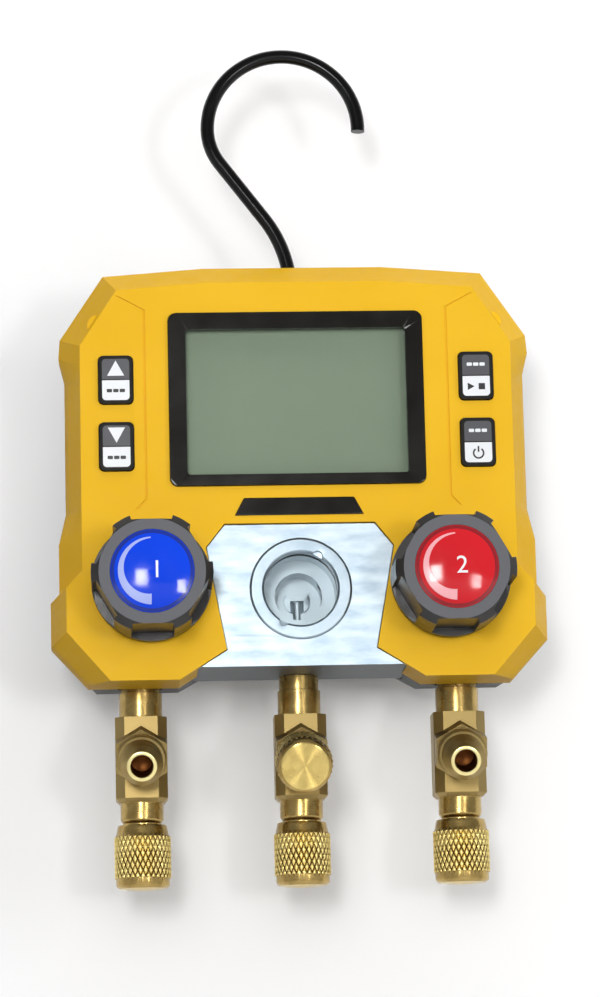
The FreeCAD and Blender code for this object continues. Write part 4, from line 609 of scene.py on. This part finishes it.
def smooth_mesh(name: str, points: Sequence[Sequence[float]], faces: Sequence[Sequence[int]],
                sharp_deg: float = 35.0) -> bpy.types.Mesh:
    """Make a mesh that is shaded smooth except over sharp edges.

    Args:
        name: Name of the mesh.
        points: Its vertices in metres.
        faces: Vertex numbers of each face.
        sharp_deg: Edges with a larger turn than this stay sharp.

    Returns:
        The mesh.
    """
    mesh = bpy.data.meshes.new(name)
    mesh.from_pydata([tuple(point) for point in points], [], [tuple(face) for face in faces])
    mesh.update()
    mesh.shade_smooth()
    mesh.set_sharp_from_angle(angle=math.radians(sharp_deg))
    return mesh


def lathe(profile_mm: Sequence[Point], steps: int, relief: Relief | None = None) -> tuple[list, list]:
    """Turn a profile about Z, with a relief on its radius.

    Args:
        profile_mm: (radius, height) pairs, with the solid on their left; a zero radius is on the axis.
        steps: How many points make a full turn.
        relief: Change of the radius in millimetres for a turn, a radius and a height.

    Returns:
        Vertices in metres, and faces.
    """
    points: list[Vector] = []
    rings: list[list[int]] = []
    for radius, height in profile_mm:
        count = steps if radius > 0 else 1
        ring = []
        for step in range(count):
            turn = 2 * math.pi * step / steps
            reach = radius + (relief(turn, radius, height) if relief and radius > 0 else 0.0)
            ring.append(len(points))
            points.append(Vector((reach * math.cos(turn), reach * math.sin(turn), height)) * MM)
        rings.append(ring)
    faces = []
    for low, high in zip(rings, rings[1:]):
        for step in range(steps):
            after = (step + 1) % steps
            if len(low) > 1 and len(high) > 1:
                faces.append((low[step], low[after], high[after], high[step]))
            elif len(low) > 1:
                faces.append((low[step], low[after], high[0]))
            elif len(high) > 1:
                faces.append((low[0], high[after], high[step]))
    return points, faces


def spaced(start: Point, end: Point, step_mm: float) -> list[Point]:
    """Points from one profile corner to the next, about a step apart, both ends included."""
    count = max(1, round(math.dist(start, end) / step_mm))
    shares = [index / count for index in range(count + 1)]
    return [(start[0] + (end[0] - start[0]) * s, start[1] + (end[1] - start[1]) * s) for s in shares]


def zigzag(value: float) -> float:
    """A wave that rises from zero to one and falls back over each whole number."""
    return 1 - abs(2 * (value % 1) - 1)


def dress_node(part: bpy.types.Object, finish: Finish, edge_mm: float) -> None:
    """Give a node its finish, and soften its edges where a width is given.

    Args:
        part: The node.
        finish: Its finish.
        edge_mm: Width of its soft edges, or zero.
    """
    part.data.materials.clear()
    part.data.materials.append(finish.material())
    if edge_mm:
        weld = part.modifiers.new("joined_seams", "WELD")
        weld.merge_threshold = SEAM_MM * MM
        bevel = bevelled(part, edge_mm, 2)
        bevel.limit_method = "ANGLE"
        bevel.angle_limit = math.radians(EDGE_DEG)
        # Wide faces keep their own normals, so only the soft edges are shaded round
        level = part.modifiers.new("level_faces", "WEIGHTED_NORMAL")
        level.mode = "FACE_AREA"
        level.weight = 100
    LOG.info("%s gets %s", part.name, finish.name)


def add_piece(name: str, mesh: bpy.types.Mesh, finishes: Sequence[Finish], body: str,
              replaces: str = "", where: Matrix | None = None) -> bpy.types.Object:
    """Add a new piece that rides on a body.

    Args:
        name: Name of the piece.
        mesh: Its mesh, whose faces are numbered for its finishes.
        finishes: Its finishes.
        body: The body that it moves with.
        replaces: The node that it stands for, if it stands for one.
        where: Its place and turn.

    Returns:
        The piece.
    """
    piece = placed(name, mesh)
    if where is not None:
        piece.matrix_world = where
    # Pieces that share a mesh share its finishes
    if not mesh.materials:
        for finish in finishes:
            mesh.materials.append(finish.material())
    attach(piece, body)
    if replaces:
        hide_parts(replaces)
    LOG.info("%s rides on %s", name, body)
    return piece


@dataclass(frozen=True)
class Patch:
    """A flat printed area on a plane that faces the front.

    Attributes:
        outline_mm: Its corners as (sideways, up).
        ink: Number of its ink among the mesh's finishes.
        lift_mm: How far it lies over the plane.
    """

    outline_mm: list[Point]
    ink: int
    lift_mm: float = INK_MM


def rounded(left: float, foot: float, right: float, top: float, radii: Sequence[float]) -> list[Point]:
    """Outline of an upright rectangle with a radius for each corner, from the lower left one on round."""
    corners = (
        (left, foot, 1, 1, 180), (right, foot, -1, 1, 270), (right, top, -1, -1, 0), (left, top, 1, -1, 90),
    )
    outline = []
    for (x, z, to_x, to_z, start), radius in zip(corners, radii):
        middle_x, middle_z = x + to_x * radius, z + to_z * radius
        for step in range(6):
            turn = math.radians(start + 18 * step)
            outline.append((middle_x + radius * math.cos(turn), middle_z + radius * math.sin(turn)))
    return outline


def ring_band(z: float, inner: float, outer: float, start_deg: float, end_deg: float) -> list[Point]:
    """Outline of part of a ring round a height, from a start angle to an end angle."""
    turns = [math.radians(start_deg + (end_deg - start_deg) * step / 24) for step in range(25)]
    far = [(outer * math.cos(turn), z + outer * math.sin(turn)) for turn in turns]
    near = [(inner * math.cos(turn), z + inner * math.sin(turn)) for turn in reversed(turns)]
    return far + near


def printed_mesh(name: str, patches: Sequence[Patch], x_mm: float, depth_mm: float,
                 z_mm: float) -> bpy.types.Mesh:
    """Make thin printed areas that face the front.

    Args:
        name: Name of the mesh.
        patches: The areas.
        x_mm: Sideways place of their middle.
        depth_mm: Depth of the plane that they lie on, from the back of the gauge.
        z_mm: Height of their middle.

    Returns:
        The mesh, with each face numbered for its ink.
    """
    points: list[tuple[float, float, float]] = []
    faces: list[list[int]] = []
    inks: list[int] = []
    for patch in patches:
        first = len(points)
        depth = depth_mm + patch.lift_mm
        points += [((x_mm + x) * MM, -depth * MM, (z_mm + z) * MM) for x, z in patch.outline_mm]
        faces.append(list(range(first, len(points))))
        inks.append(patch.ink)
    mesh = smooth_mesh(name, points, faces)
    for face, ink in zip(mesh.polygons, inks):
        face.material_index = ink
    return mesh


@dataclass
class NamePlate:
    """A glossy black plate with sloping ends, left bare.

    Attributes:
        depth_mm: Depth of the face that it lies on.
        z_mm: Height of its middle.
        top_mm: Length of its top edge.
        foot_mm: Length of its bottom edge.
        height_mm: Its height.
        thick_mm: Its thickness.
        edge_mm: Width of its soft edge.
    """

    depth_mm: float = 34.0
    z_mm: float = 21.7
    top_mm: float = 29.0
    foot_mm: float = 34.0
    height_mm: float = 4.7
    thick_mm: float = 0.35
    edge_mm: float = 0.3

    def build(self) -> None:
        """Make the plate."""
        top, foot, end = self.top_mm / 2, self.foot_mm / 2, self.height_mm / 2
        outline = [(-foot, -end), (foot, -end), (top, end), (-top, end)]
        rear = [(x * MM, -self.depth_mm * MM, (self.z_mm + z) * MM) for x, z in outline]
        front = [(x, y - self.thick_mm * MM, z) for x, y, z in rear]
        sides = [(i, (i + 1) % 4, 4 + (i + 1) % 4, 4 + i) for i in range(4)]
        mesh = smooth_mesh("name_plate", rear + front, [(4, 5, 6, 7), *sides])
        plate = add_piece("name_plate", mesh, [BEZEL_ACRYLIC], "case")
        bevelled(plate, self.edge_mm, 3)


class Sign(Enum):
    """Plain signs on the keys."""

    UP = "up"
    DOWN = "down"
    BARS = "bars"
    RUN = "run"
    POWER = "power"


class KeyInk(IntEnum):
    """Numbers of the inks on a key."""

    WHITE = 0
    BLACK = 1
    GREY = 2


@dataclass
class Keypad:
    """What is printed on the four keys: a grey half over a white half, with their signs.

    Attributes:
        x_mm: Middle of the keys, sideways.
        upper_mm: Height of the upper keys.
        lower_mm: Height of the lower keys.
        width_mm: Width of a key.
        height_mm: Height of a key.
        front_mm: Depth of the keys' faces.
        border_mm: Dark border round the two halves.
        corner_mm: Radius of their outer corners.
        sign_mm: Height of a sign over or under the key's middle.
        ink_mm: How far the signs stand over the key.
    """

    x_mm: float = 47.6
    upper_mm: float = 56.05
    lower_mm: float = 38.15
    width_mm: float = 9.0
    height_mm: float = 12.9
    front_mm: float = 34.9
    border_mm: float = 0.9
    corner_mm: float = 1.0
    sign_mm: float = 3.0
    ink_mm: float = 0.04

    def build(self) -> None:
        """Print the keys."""
        signs = {
            "left_upper": (Sign.UP, Sign.BARS), "left_lower": (Sign.DOWN, Sign.BARS),
            "right_upper": (Sign.BARS, Sign.RUN), "right_lower": (Sign.BARS, Sign.POWER),
        }
        for place, (top, foot) in signs.items():
            key = f"button_{place}"
            x = self.x_mm * (-1 if place.startswith("left") else 1)
            z = self.upper_mm if place.endswith("upper") else self.lower_mm
            half, edge = self.width_mm / 2 - self.border_mm, -self.height_mm / 2 + self.border_mm
            corner, seam = (self.corner_mm,) * 2, (0.1,) * 2
            white = Patch(rounded(-half, edge, half, -0.2, corner + seam), KeyInk.WHITE)
            grey = Patch(rounded(-half, 0.1, half, -edge, seam + corner), KeyInk.GREY)
            upper = self.sign(top, self.sign_mm, KeyInk.WHITE)
            lower = self.sign(foot, -self.sign_mm, KeyInk.BLACK)
            mesh = printed_mesh(f"{key}_print", [white, grey, *upper, *lower], x, self.front_mm, z)
            add_piece(f"{key}_print", mesh, [WHITE_INK, BLACK_INK, KEY_INK], key)

    def sign(self, sign: Sign, z: float, ink: KeyInk) -> list[Patch]:
        """The areas of one sign.

        Args:
            sign: Which sign.
            z: Height of its middle over the key's middle, in millimetres.
            ink: Its ink.

        Returns:
            Its printed areas.
        """
        lift = self.ink_mm
        if sign in (Sign.UP, Sign.DOWN):
            way = 1 if sign is Sign.UP else -1
            tip, base = (0.0, z + 2.1 * way), z - 2.0 * way
            corners = [(-2.25 * way, base), (2.25 * way, base), tip]
            return [Patch(corners, ink, lift)]
        if sign is Sign.BARS:
            bars = [(-2.4, -1.0), (-0.7, 0.7), (1.0, 2.4)]
            return [Patch(rounded(a, z - 0.45, b, z + 0.45, (0.2,) * 4), ink, lift) for a, b in bars]
        if sign is Sign.RUN:
            arrow = Patch([(-2.3, z - 1.0), (-0.5, z), (-2.3, z + 1.0)], ink, lift)
            return [arrow, Patch(rounded(0.6, z - 0.85, 2.3, z + 0.85, (0.1,) * 4), ink, lift)]
        ring = Patch(ring_band(z - 0.1, 1.1, 1.55, 125, 415), ink, lift)
        return [ring, Patch(rounded(-0.22, z + 0.2, 0.22, z + 1.8, (0.1,) * 4), ink, lift)]


@dataclass
class KnobPrint:
    """What is printed on the domed insert of a hand knob: rim, scale and figure.

    Attributes:
        side: Which of the two valves.
        x_mm: Distance of the valve's axis from the middle.
        z_mm: Height of the axis.
        apex_mm: Depth of the dome's top.
        radius_mm: Radius of the insert.
        crown_mm: Height of the dome.
        rim_mm: Inner and outer radius of the printed rim.
        scale_mm: Outer radius of the printed scale.
        swell_mm: Width of the scale where it starts, and how much wider it is where it ends.
        scale_deg: Angles where it starts and ends.
        figure_mm: Size of the figure.
        figure_x_mm: What brings the figure from the knob's middle to where it stands.
        figure_sink_mm: How far the figure's middle plane lies under the dome's top.
    """

    side: Side
    x_mm: float = 39.0
    z_mm: float = 1.8
    apex_mm: float = 55.84
    radius_mm: float = 10.74
    crown_mm: float = 1.5
    rim_mm: Point = (9.75, 10.6)
    scale_mm: float = 8.75
    swell_mm: Point = (0.35, 2.35)
    scale_deg: Point = (92.0, 268.0)
    figure_mm: float = 6.4
    figure_x_mm: float = 1.2
    figure_sink_mm: float = 0.04

    def build(self) -> None:
        """Print the insert."""
        word = self.side.word
        rim_ink, scale_ink, slot, figure = MARKS[self.side]
        prints = (
            ("rim", self.band("rim", lambda share: self.rim_mm, 0, 360), rim_ink),
            ("sweep", self.band("sweep", self.scale_width, *self.scale_deg), scale_ink),
            ("number", self.number(figure), WHITE_INK),
        )
        for name, mesh, ink in prints:
            add_piece(f"{word}_insert_{name}", mesh, [ink], f"{word}_knob")

    def scale_width(self, share: float) -> Point:
        """Inner and outer radius of the printed scale, which grows wider along its sweep."""
        return self.scale_mm - self.swell_mm[0] - self.swell_mm[1] * share, self.scale_mm

    def dome_mm(self, radius: float) -> float:
        """Depth of the dome's surface at a distance from its middle."""
        ball = (self.radius_mm ** 2 + self.crown_mm ** 2) / (2 * self.crown_mm)
        return self.apex_mm - (ball - math.sqrt(ball ** 2 - radius ** 2))

    def band(self, name: str, width: Callable[[float], Point], start_deg: float,
             end_deg: float) -> bpy.types.Mesh:
        """A printed band that follows the dome.

        Args:
            name: What the band is.
            width: Inner and outer radius in millimetres for the share of the sweep that is done.
            start_deg: Angle where it starts, counter-clockwise from the right.
            end_deg: Angle where it ends.

        Returns:
            The mesh.
        """
        across, along = 5, 72
        points, faces = [], []
        for step in range(along + 1):
            share = step / along
            turn = math.radians(start_deg + (end_deg - start_deg) * share)
            inner, outer = width(share)
            for lane in range(across):
                radius = inner + (outer - inner) * lane / (across - 1)
                depth = self.dome_mm(radius) + INK_MM
                points.append(((self.side.value * self.x_mm + radius * math.cos(turn)) * MM, -depth * MM,
                               (self.z_mm + radius * math.sin(turn)) * MM))
        for step in range(along):
            for lane in range(across - 1):
                corner = step * across + lane
                faces.append((corner, corner + 1, corner + across + 1, corner + across))
        return smooth_mesh(f"{self.side.word}_insert_{name}", points, faces)

    def number(self, figure: str) -> bpy.types.Mesh:
        """A plain raised figure in the middle of the insert."""
        text = bpy.data.curves.new(f"figure_{figure}", "FONT")
        text.body = figure
        text.size = self.figure_mm * MM
        text.align_x = "CENTER"
        text.align_y = "CENTER"
        text.extrude = self.figure_sink_mm * 2 * MM
        carrier = placed("figure_carrier", text)
        bpy.context.view_layer.update()
        mesh = bpy.data.meshes.new_from_object(carrier)
        bpy.data.objects.remove(carrier)
        place = Vector((self.side.value * self.x_mm + self.figure_x_mm, -self.apex_mm + self.figure_sink_mm,
                        self.z_mm)) * MM
        mesh.transform(Matrix.Translation(place) @ Matrix.Rotation(math.radians(90), 4, "X"))
        mesh.materials.clear()
        return mesh


class CapFace(IntEnum):
    """Numbers of the finishes on a cap."""

    SMOOTH = 0
    LIT_CREST = 1
    SHADED_GROOVE = 2
    FACED = 3


class StudFace(IntEnum):
    """Numbers of the finishes on a branch's stud."""

    DULL = 0
    NOSE = 1
    BORE = 2


@dataclass
class Ports:
    """Knurled caps and threaded branches of the three brass tees.

    Attributes:
        spacing_mm: Distance between the ports.
        depth_mm: Depth of their axes.
        mouth_z_mm: Height of the bottom caps' open ends.
        branch_z_mm: Height where the branch leaves the port's axis.
        tilt_deg: How far the branch points down.
        charge_mouth_mm: Port axis to the open end of the front cap.
        cap_mm: Radius of a cap over its knurl.
        bottom_cap_mm: Length of a bottom cap.
        charge_cap_mm: Length of the front cap.
        knurls: Ridges of one hand round a cap.
        knurl_lead_mm: Height over which a ridge moves on by one.
        knurl_depth_mm: Depth of the knurl's grooves.
        knurl_foot_mm: Open end of a cap to its knurl.
        knurl_top_mm: Closed end of a cap to its knurl.
        bright: How high a place has to be on its diamond to shine.
        pitch_mm: Pitch of the hose thread.
        thread_mm: Where the thread starts and ends, from the port's axis.
        thread_depth_mm: Depth of the thread.
    """

    spacing_mm: float = 42.2
    depth_mm: float = 10.0
    mouth_z_mm: float = -59.3
    branch_z_mm: float = -39.5
    tilt_deg: float = 17.0
    charge_mouth_mm: float = 12.6
    cap_mm: float = 7.45
    bottom_cap_mm: float = 16.6
    charge_cap_mm: float = 12.0
    knurls: int = 32
    knurl_lead_mm: float = 3.0
    knurl_depth_mm: float = 0.38
    knurl_foot_mm: float = 3.1
    knurl_top_mm: float = 2.8
    # bright: How high a place has to be on its diamond to get the painted highlight; lower places get the
    # painted shade.
    bright: float = 0.4
    pitch_mm: float = 1.27
    thread_mm: Point = (12.5, 19.0)
    thread_depth_mm: float = 0.62

    def build(self) -> None:
        """Make the caps and studs."""
        finishes = [BRASS, KNURL_HIGHLIGHT_BRASS, KNURL_SHADE_BRASS, FACED_BRASS]
        long_cap = self.cap("long_knurled_cap", self.bottom_cap_mm)
        for name, x in (("low", -self.spacing_mm), ("centre", 0.0), ("high", self.spacing_mm)):
            down = Matrix.Translation(Vector((x, -self.depth_mm, self.mouth_z_mm)) * MM)
            where = down @ Matrix.Rotation(math.pi, 4, "X")
            node = f"{name}_cap"
            add_piece(f"{name}_knurled_cap", long_cap, finishes, node, node, where)
        short_cap = self.cap("short_knurled_cap", self.charge_cap_mm)
        where = self.branch(0.0) @ Matrix.Translation((0, 0, self.charge_mouth_mm * MM))
        add_piece("charge_knurled_cap", short_cap, finishes, "charge_cap", "charge_cap", where)
        for side in Side:
            self.stud(side)

    def branch(self, x_mm: float) -> Matrix:
        """Place and turn of a branch: its own Z axis runs out along it."""
        start = Matrix.Translation(Vector((x_mm, -self.depth_mm, self.branch_z_mm)) * MM)
        return start @ Matrix.Rotation(math.radians(90 + self.tilt_deg), 4, "X")

    def cap_profile(self, length_mm: float) -> list[Point]:
        """A cap's section from its floor inside, over the mouth, to its closed end.

        Args:
            length_mm: Length of the cap.

        Returns:
            The section as (radius, distance from the mouth).
        """
        top, end = self.cap_mm, length_mm
        return [
            (0, end - 2.2), (5.95, end - 2.2), (5.95, 0.3), (6.2, 0), (6.4, 0),
            *spaced((6.5, 0.15), (7.0, 2.7), 0.6),
            *spaced((top, self.knurl_foot_mm), (top, end - self.knurl_top_mm), 0.25),
            (7.1, end - 2.6), (7.1, end - 1.0), (6.95, end - 0.6), (6.2, end - 0.05), (5.9, end),
            *spaced((5.6, end), (0.2, end), 0.9), (0, end),
        ]

    def cap(self, name: str, length_mm: float) -> bpy.types.Mesh:
        """Turn a cap, cut its knurl and number its faces for their finishes.

        Args:
            name: Name of the mesh.
            length_mm: Length of the cap.

        Returns:
            The mesh, numbered as in CapFace.
        """
        # Twelve points a ridge draw the diamonds
        points, faces = lathe(self.cap_profile(length_mm), 12 * self.knurls, self.knurl)
        mesh = smooth_mesh(name, points, faces, 50)
        for face in mesh.polygons:
            x, y, height = face.center / MM
            radius = math.hypot(x, y)
            # The flat of the closed end lies inside its rounded rim
            if height > length_mm - 0.1 and radius < 6.2:
                face.material_index = CapFace.FACED
            elif radius > 7.0 and self.knurl_foot_mm < height < length_mm - self.knurl_top_mm:
                # High places on the diamonds get the painted highlight, the grooves the painted shade
                painted_lit = self.lit_crest(math.atan2(y, x), height) > self.bright
                face.material_index = CapFace.LIT_CREST if painted_lit else CapFace.SHADED_GROOVE
        return mesh

    def lit_crest(self, turn: float, height: float) -> float:
        """Height of the crossed ridges of the knurl, from zero in a groove to one on a diamond."""
        around, along = self.knurls * turn / (2 * math.pi), height / self.knurl_lead_mm
        return min(1.0, 1.8 * zigzag(around + along), 1.8 * zigzag(around - along))

    def knurl(self, turn: float, radius: float, height: float) -> float:
        """Depth of the knurl at a place on the cap."""
        if radius < self.cap_mm - 0.01:
            return 0.0
        return self.knurl_depth_mm * (self.lit_crest(turn, height) - 1)

    def thread(self, turn: float, radius: float, height: float) -> float:
        """Depth of the hose thread, which runs out at both ends."""
        start, end = self.thread_mm
        # Only the outside of the stud is as wide as that
        if radius < 5.5 or not start < height < end:
            return 0.0
        fade = min(1.0, (height - start) / 0.8, (end - height) / 0.5)
        return -self.thread_depth_mm * fade * (1 - zigzag(height / self.pitch_mm - turn / (2 * math.pi)))

    def stud(self, side: Side) -> None:
        """A blind threaded stud with its polished flare nose and stained bore."""
        word = side.word
        profile = [
            (0, 4.0), (4.37, 4.0), (4.37, 9.9), (6.1, 9.96), (6.6, 10.7), (6.6, 11.7), (6.1, 12.2),
            (5.1, 12.25), *spaced((5.56, 12.6), (5.56, 18.9), 0.12),
            *spaced((5.3, 19.2), (4.15, 20.6), 0.4), (3.95, 20.9), (3.8, 21.0), (3.1, 21.0), (2.95, 20.85),
            *spaced((2.95, 20.6), (2.95, 12.2), 1.0), (0, 10.65),
        ]
        points, faces = lathe(profile, 72, self.thread)
        mesh = smooth_mesh(f"{word}_stud_metal", points, faces, 40)
        for face in mesh.polygons:
            centre = face.center / MM
            radius = math.hypot(centre.x, centre.y)
            # The nose's flat end seals, and what lies inside the bore's radius is darker
            if centre.z > 20.8:
                face.material_index = StudFace.NOSE
            elif radius < 3.2 and centre.z > 10.5:
                face.material_index = StudFace.BORE
        where = self.branch(side.value * self.spacing_mm)
        finishes = [BRANCH_BRASS, NOSE_BRASS, BORE_BRASS]
        add_piece(f"{word}_threaded_stud", mesh, finishes, "case", f"{word}_stud", where)


@dataclass(frozen=True)
class Lamp:
    """A rectangular soft light that points at the gauge.

    Attributes:
        name: Name of the light.
        azimuth_deg: Its direction round the gauge; zero is in front, positive to the right.
        elevation_deg: Its height angle.
        distance: Its distance in metres.
        size: Width and height in metres.
        share: What it adds to the light on a white surface that faces it, where one is white.
        mirrored: Whether it shows in gloss; a lamp behind a wide diffuser doesn't.
    """

    name: str
    azimuth_deg: float
    elevation_deg: float
    distance: float
    size: tuple[float, float]
    share: float
    mirrored: bool = False


@dataclass
class Studio:
    """Pale floor and wall, soft lamps and the camera.

    Attributes:
        azimuth_deg: Where the camera stands round the gauge, as seen from above.
        elevation_deg: Its height angle; below zero it looks up.
        roll_deg: Its roll.
        distance_mm: Its distance from the aim point.
        aim_mm: The aim point.
        focal_px: Focal length in pixels.
        image_px: Height of the image that it is measured in.
        floor_z: Height of the floor.
        floor_half: Half its width, and its reach to the front.
        wall_gap: Distance from the gauge's flat back to the wall.
        wall_top: Height of the wall's top.
        bend: Radius of the bend between floor and wall.
        room_light: Strength of the even light from all round.
        lamps: The soft lights.
    """

    azimuth_deg: float = -3.162
    elevation_deg: float = -10.377
    roll_deg: float = -1.361
    distance_mm: float = 900.0
    aim_mm: tuple[float, float, float] = (0.468, -30.0, 24.435)
    focal_px: float = 3414.8
    image_px: float = 997.0
    floor_z: float = -0.6
    floor_half: float = 30.0
    wall_gap: float = 0.02
    wall_top: float = 12.0
    bend: float = 0.3
    room_light: float = 0.32
    lamps: tuple[Lamp, ...] = (
        Lamp("left_light", -9.0, 3.5, 1.4, (0.2, 0.28), 0.27, True),
        Lamp("right_light", 21.0, -3.0, 1.4, (0.15, 0.22), 0.13, True),
        Lamp("key_light", -2.0, 7.0, 1.4, (1.1, 0.7), 0.24),
        Lamp("side_light", 54.0, 5.0, 1.4, (0.5, 0.9), 0.25),
        Lamp("ceiling_light", 8.0, 62.0, 1.2, (0.9, 0.5), 0.22),
        Lamp("back_light", 160.0, 35.0, 1.2, (0.8, 0.8), 0.8),
    )

    def build(self) -> None:
        """Make the camera, the floor, the wall and the lights."""
        bpy.context.scene.view_settings.view_transform = "Standard"
        self.camera()
        self.sweep()
        self.world()
        for lamp in self.lamps:
            self.light(lamp)

    def camera(self) -> None:
        """Stand the camera where the photograph was taken from."""
        data = bpy.data.cameras.new("camera")
        data.sensor_width = 36.0
        data.lens = self.focal_px / self.image_px * data.sensor_width
        data.clip_start, data.clip_end = 0.05, 50.0
        roll = math.radians(self.roll_deg)
        back = direction(self.azimuth_deg, self.elevation_deg)
        right = Vector((0, 0, 1)).cross(back).normalized()
        up = back.cross(right)
        level = right * math.cos(roll) + up * math.sin(roll)
        upright = up * math.cos(roll) - right * math.sin(roll)
        place = Matrix((level, upright, back)).transposed().to_4x4()
        place.translation = (Vector(self.aim_mm) + back * self.distance_mm) * MM
        camera = placed("camera", data)
        camera.matrix_world = place
        bpy.context.scene.camera = camera

    def sweep(self) -> None:
        """A wide pale floor that turns up into a wall close behind the gauge, to catch its soft shadow."""
        half, bend = self.floor_half, self.bend
        foot, start = self.wall_gap - bend, self.floor_z + bend
        turns = [math.radians(90 * step / 12) for step in range(13)]
        curve = [(foot + bend * math.sin(turn), start - bend * math.cos(turn)) for turn in turns]
        section = [(-half, self.floor_z), *curve, (self.wall_gap, self.wall_top)]
        points = [(x, y, z) for y, z in section for x in (-half, half)]
        faces = [(2 * i, 2 * i + 1, 2 * i + 3, 2 * i + 2) for i in range(len(section) - 1)]
        mesh = smooth_mesh("sweep", points, faces)
        mesh.materials.append(PAPER.material())
        placed("sweep", mesh)

    def world(self) -> None:
        """Even light from all round, as in a white room."""
        world = bpy.data.worlds.new("white_room")
        world.use_nodes = True
        tree = world.node_tree
        tree.nodes.clear()
        sky = add_node(tree, "Background", {"Color": linear("#FFFFFF"), "Strength": self.room_light})
        add_node(tree, "OutputWorld", {"Surface": sky.outputs[0]})
        bpy.context.scene.world = world

    def light(self, lamp: Lamp) -> None:
        """Hang one soft light and turn it to the gauge."""
        way = direction(lamp.azimuth_deg, lamp.elevation_deg)
        data = bpy.data.lights.new(lamp.name, "AREA")
        data.shape = "RECTANGLE"
        data.size, data.size_y = lamp.size
        data.energy = lamp.share * math.pi ** 2 * lamp.distance ** 2
        light = placed(lamp.name, data)
        light.location = way * lamp.distance
        light.visible_glossy = lamp.mirrored
        # What lies under glass is lit through it directly, which leaves no speckle
        light.visible_transmission = False
        light.rotation_mode = "QUATERNION"
        light.rotation_quaternion = way.to_track_quat("Z", "Y")


def main() -> None:
    """Load the gauge, dress it, add its fine pieces and light it."""
    logging.basicConfig(level=logging.INFO, format="%(message)s")
    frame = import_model()
    parts = frame["nodes"]
    for finish, edge_mm, names in LOOKS:
        for name in names.split():
            dress_node(parts[name], finish, edge_mm)
    makers = (NamePlate(), Keypad(), KnobPrint(Side.LOW), KnobPrint(Side.HIGH), Ports(), Studio())
    for maker in makers:
        maker.build()
    bare = sorted(name for name, part in parts.items() if not part.data.materials)
    LOG.info("nodes without a finish: %s", bare)


if __name__ == "__main__":
    main()
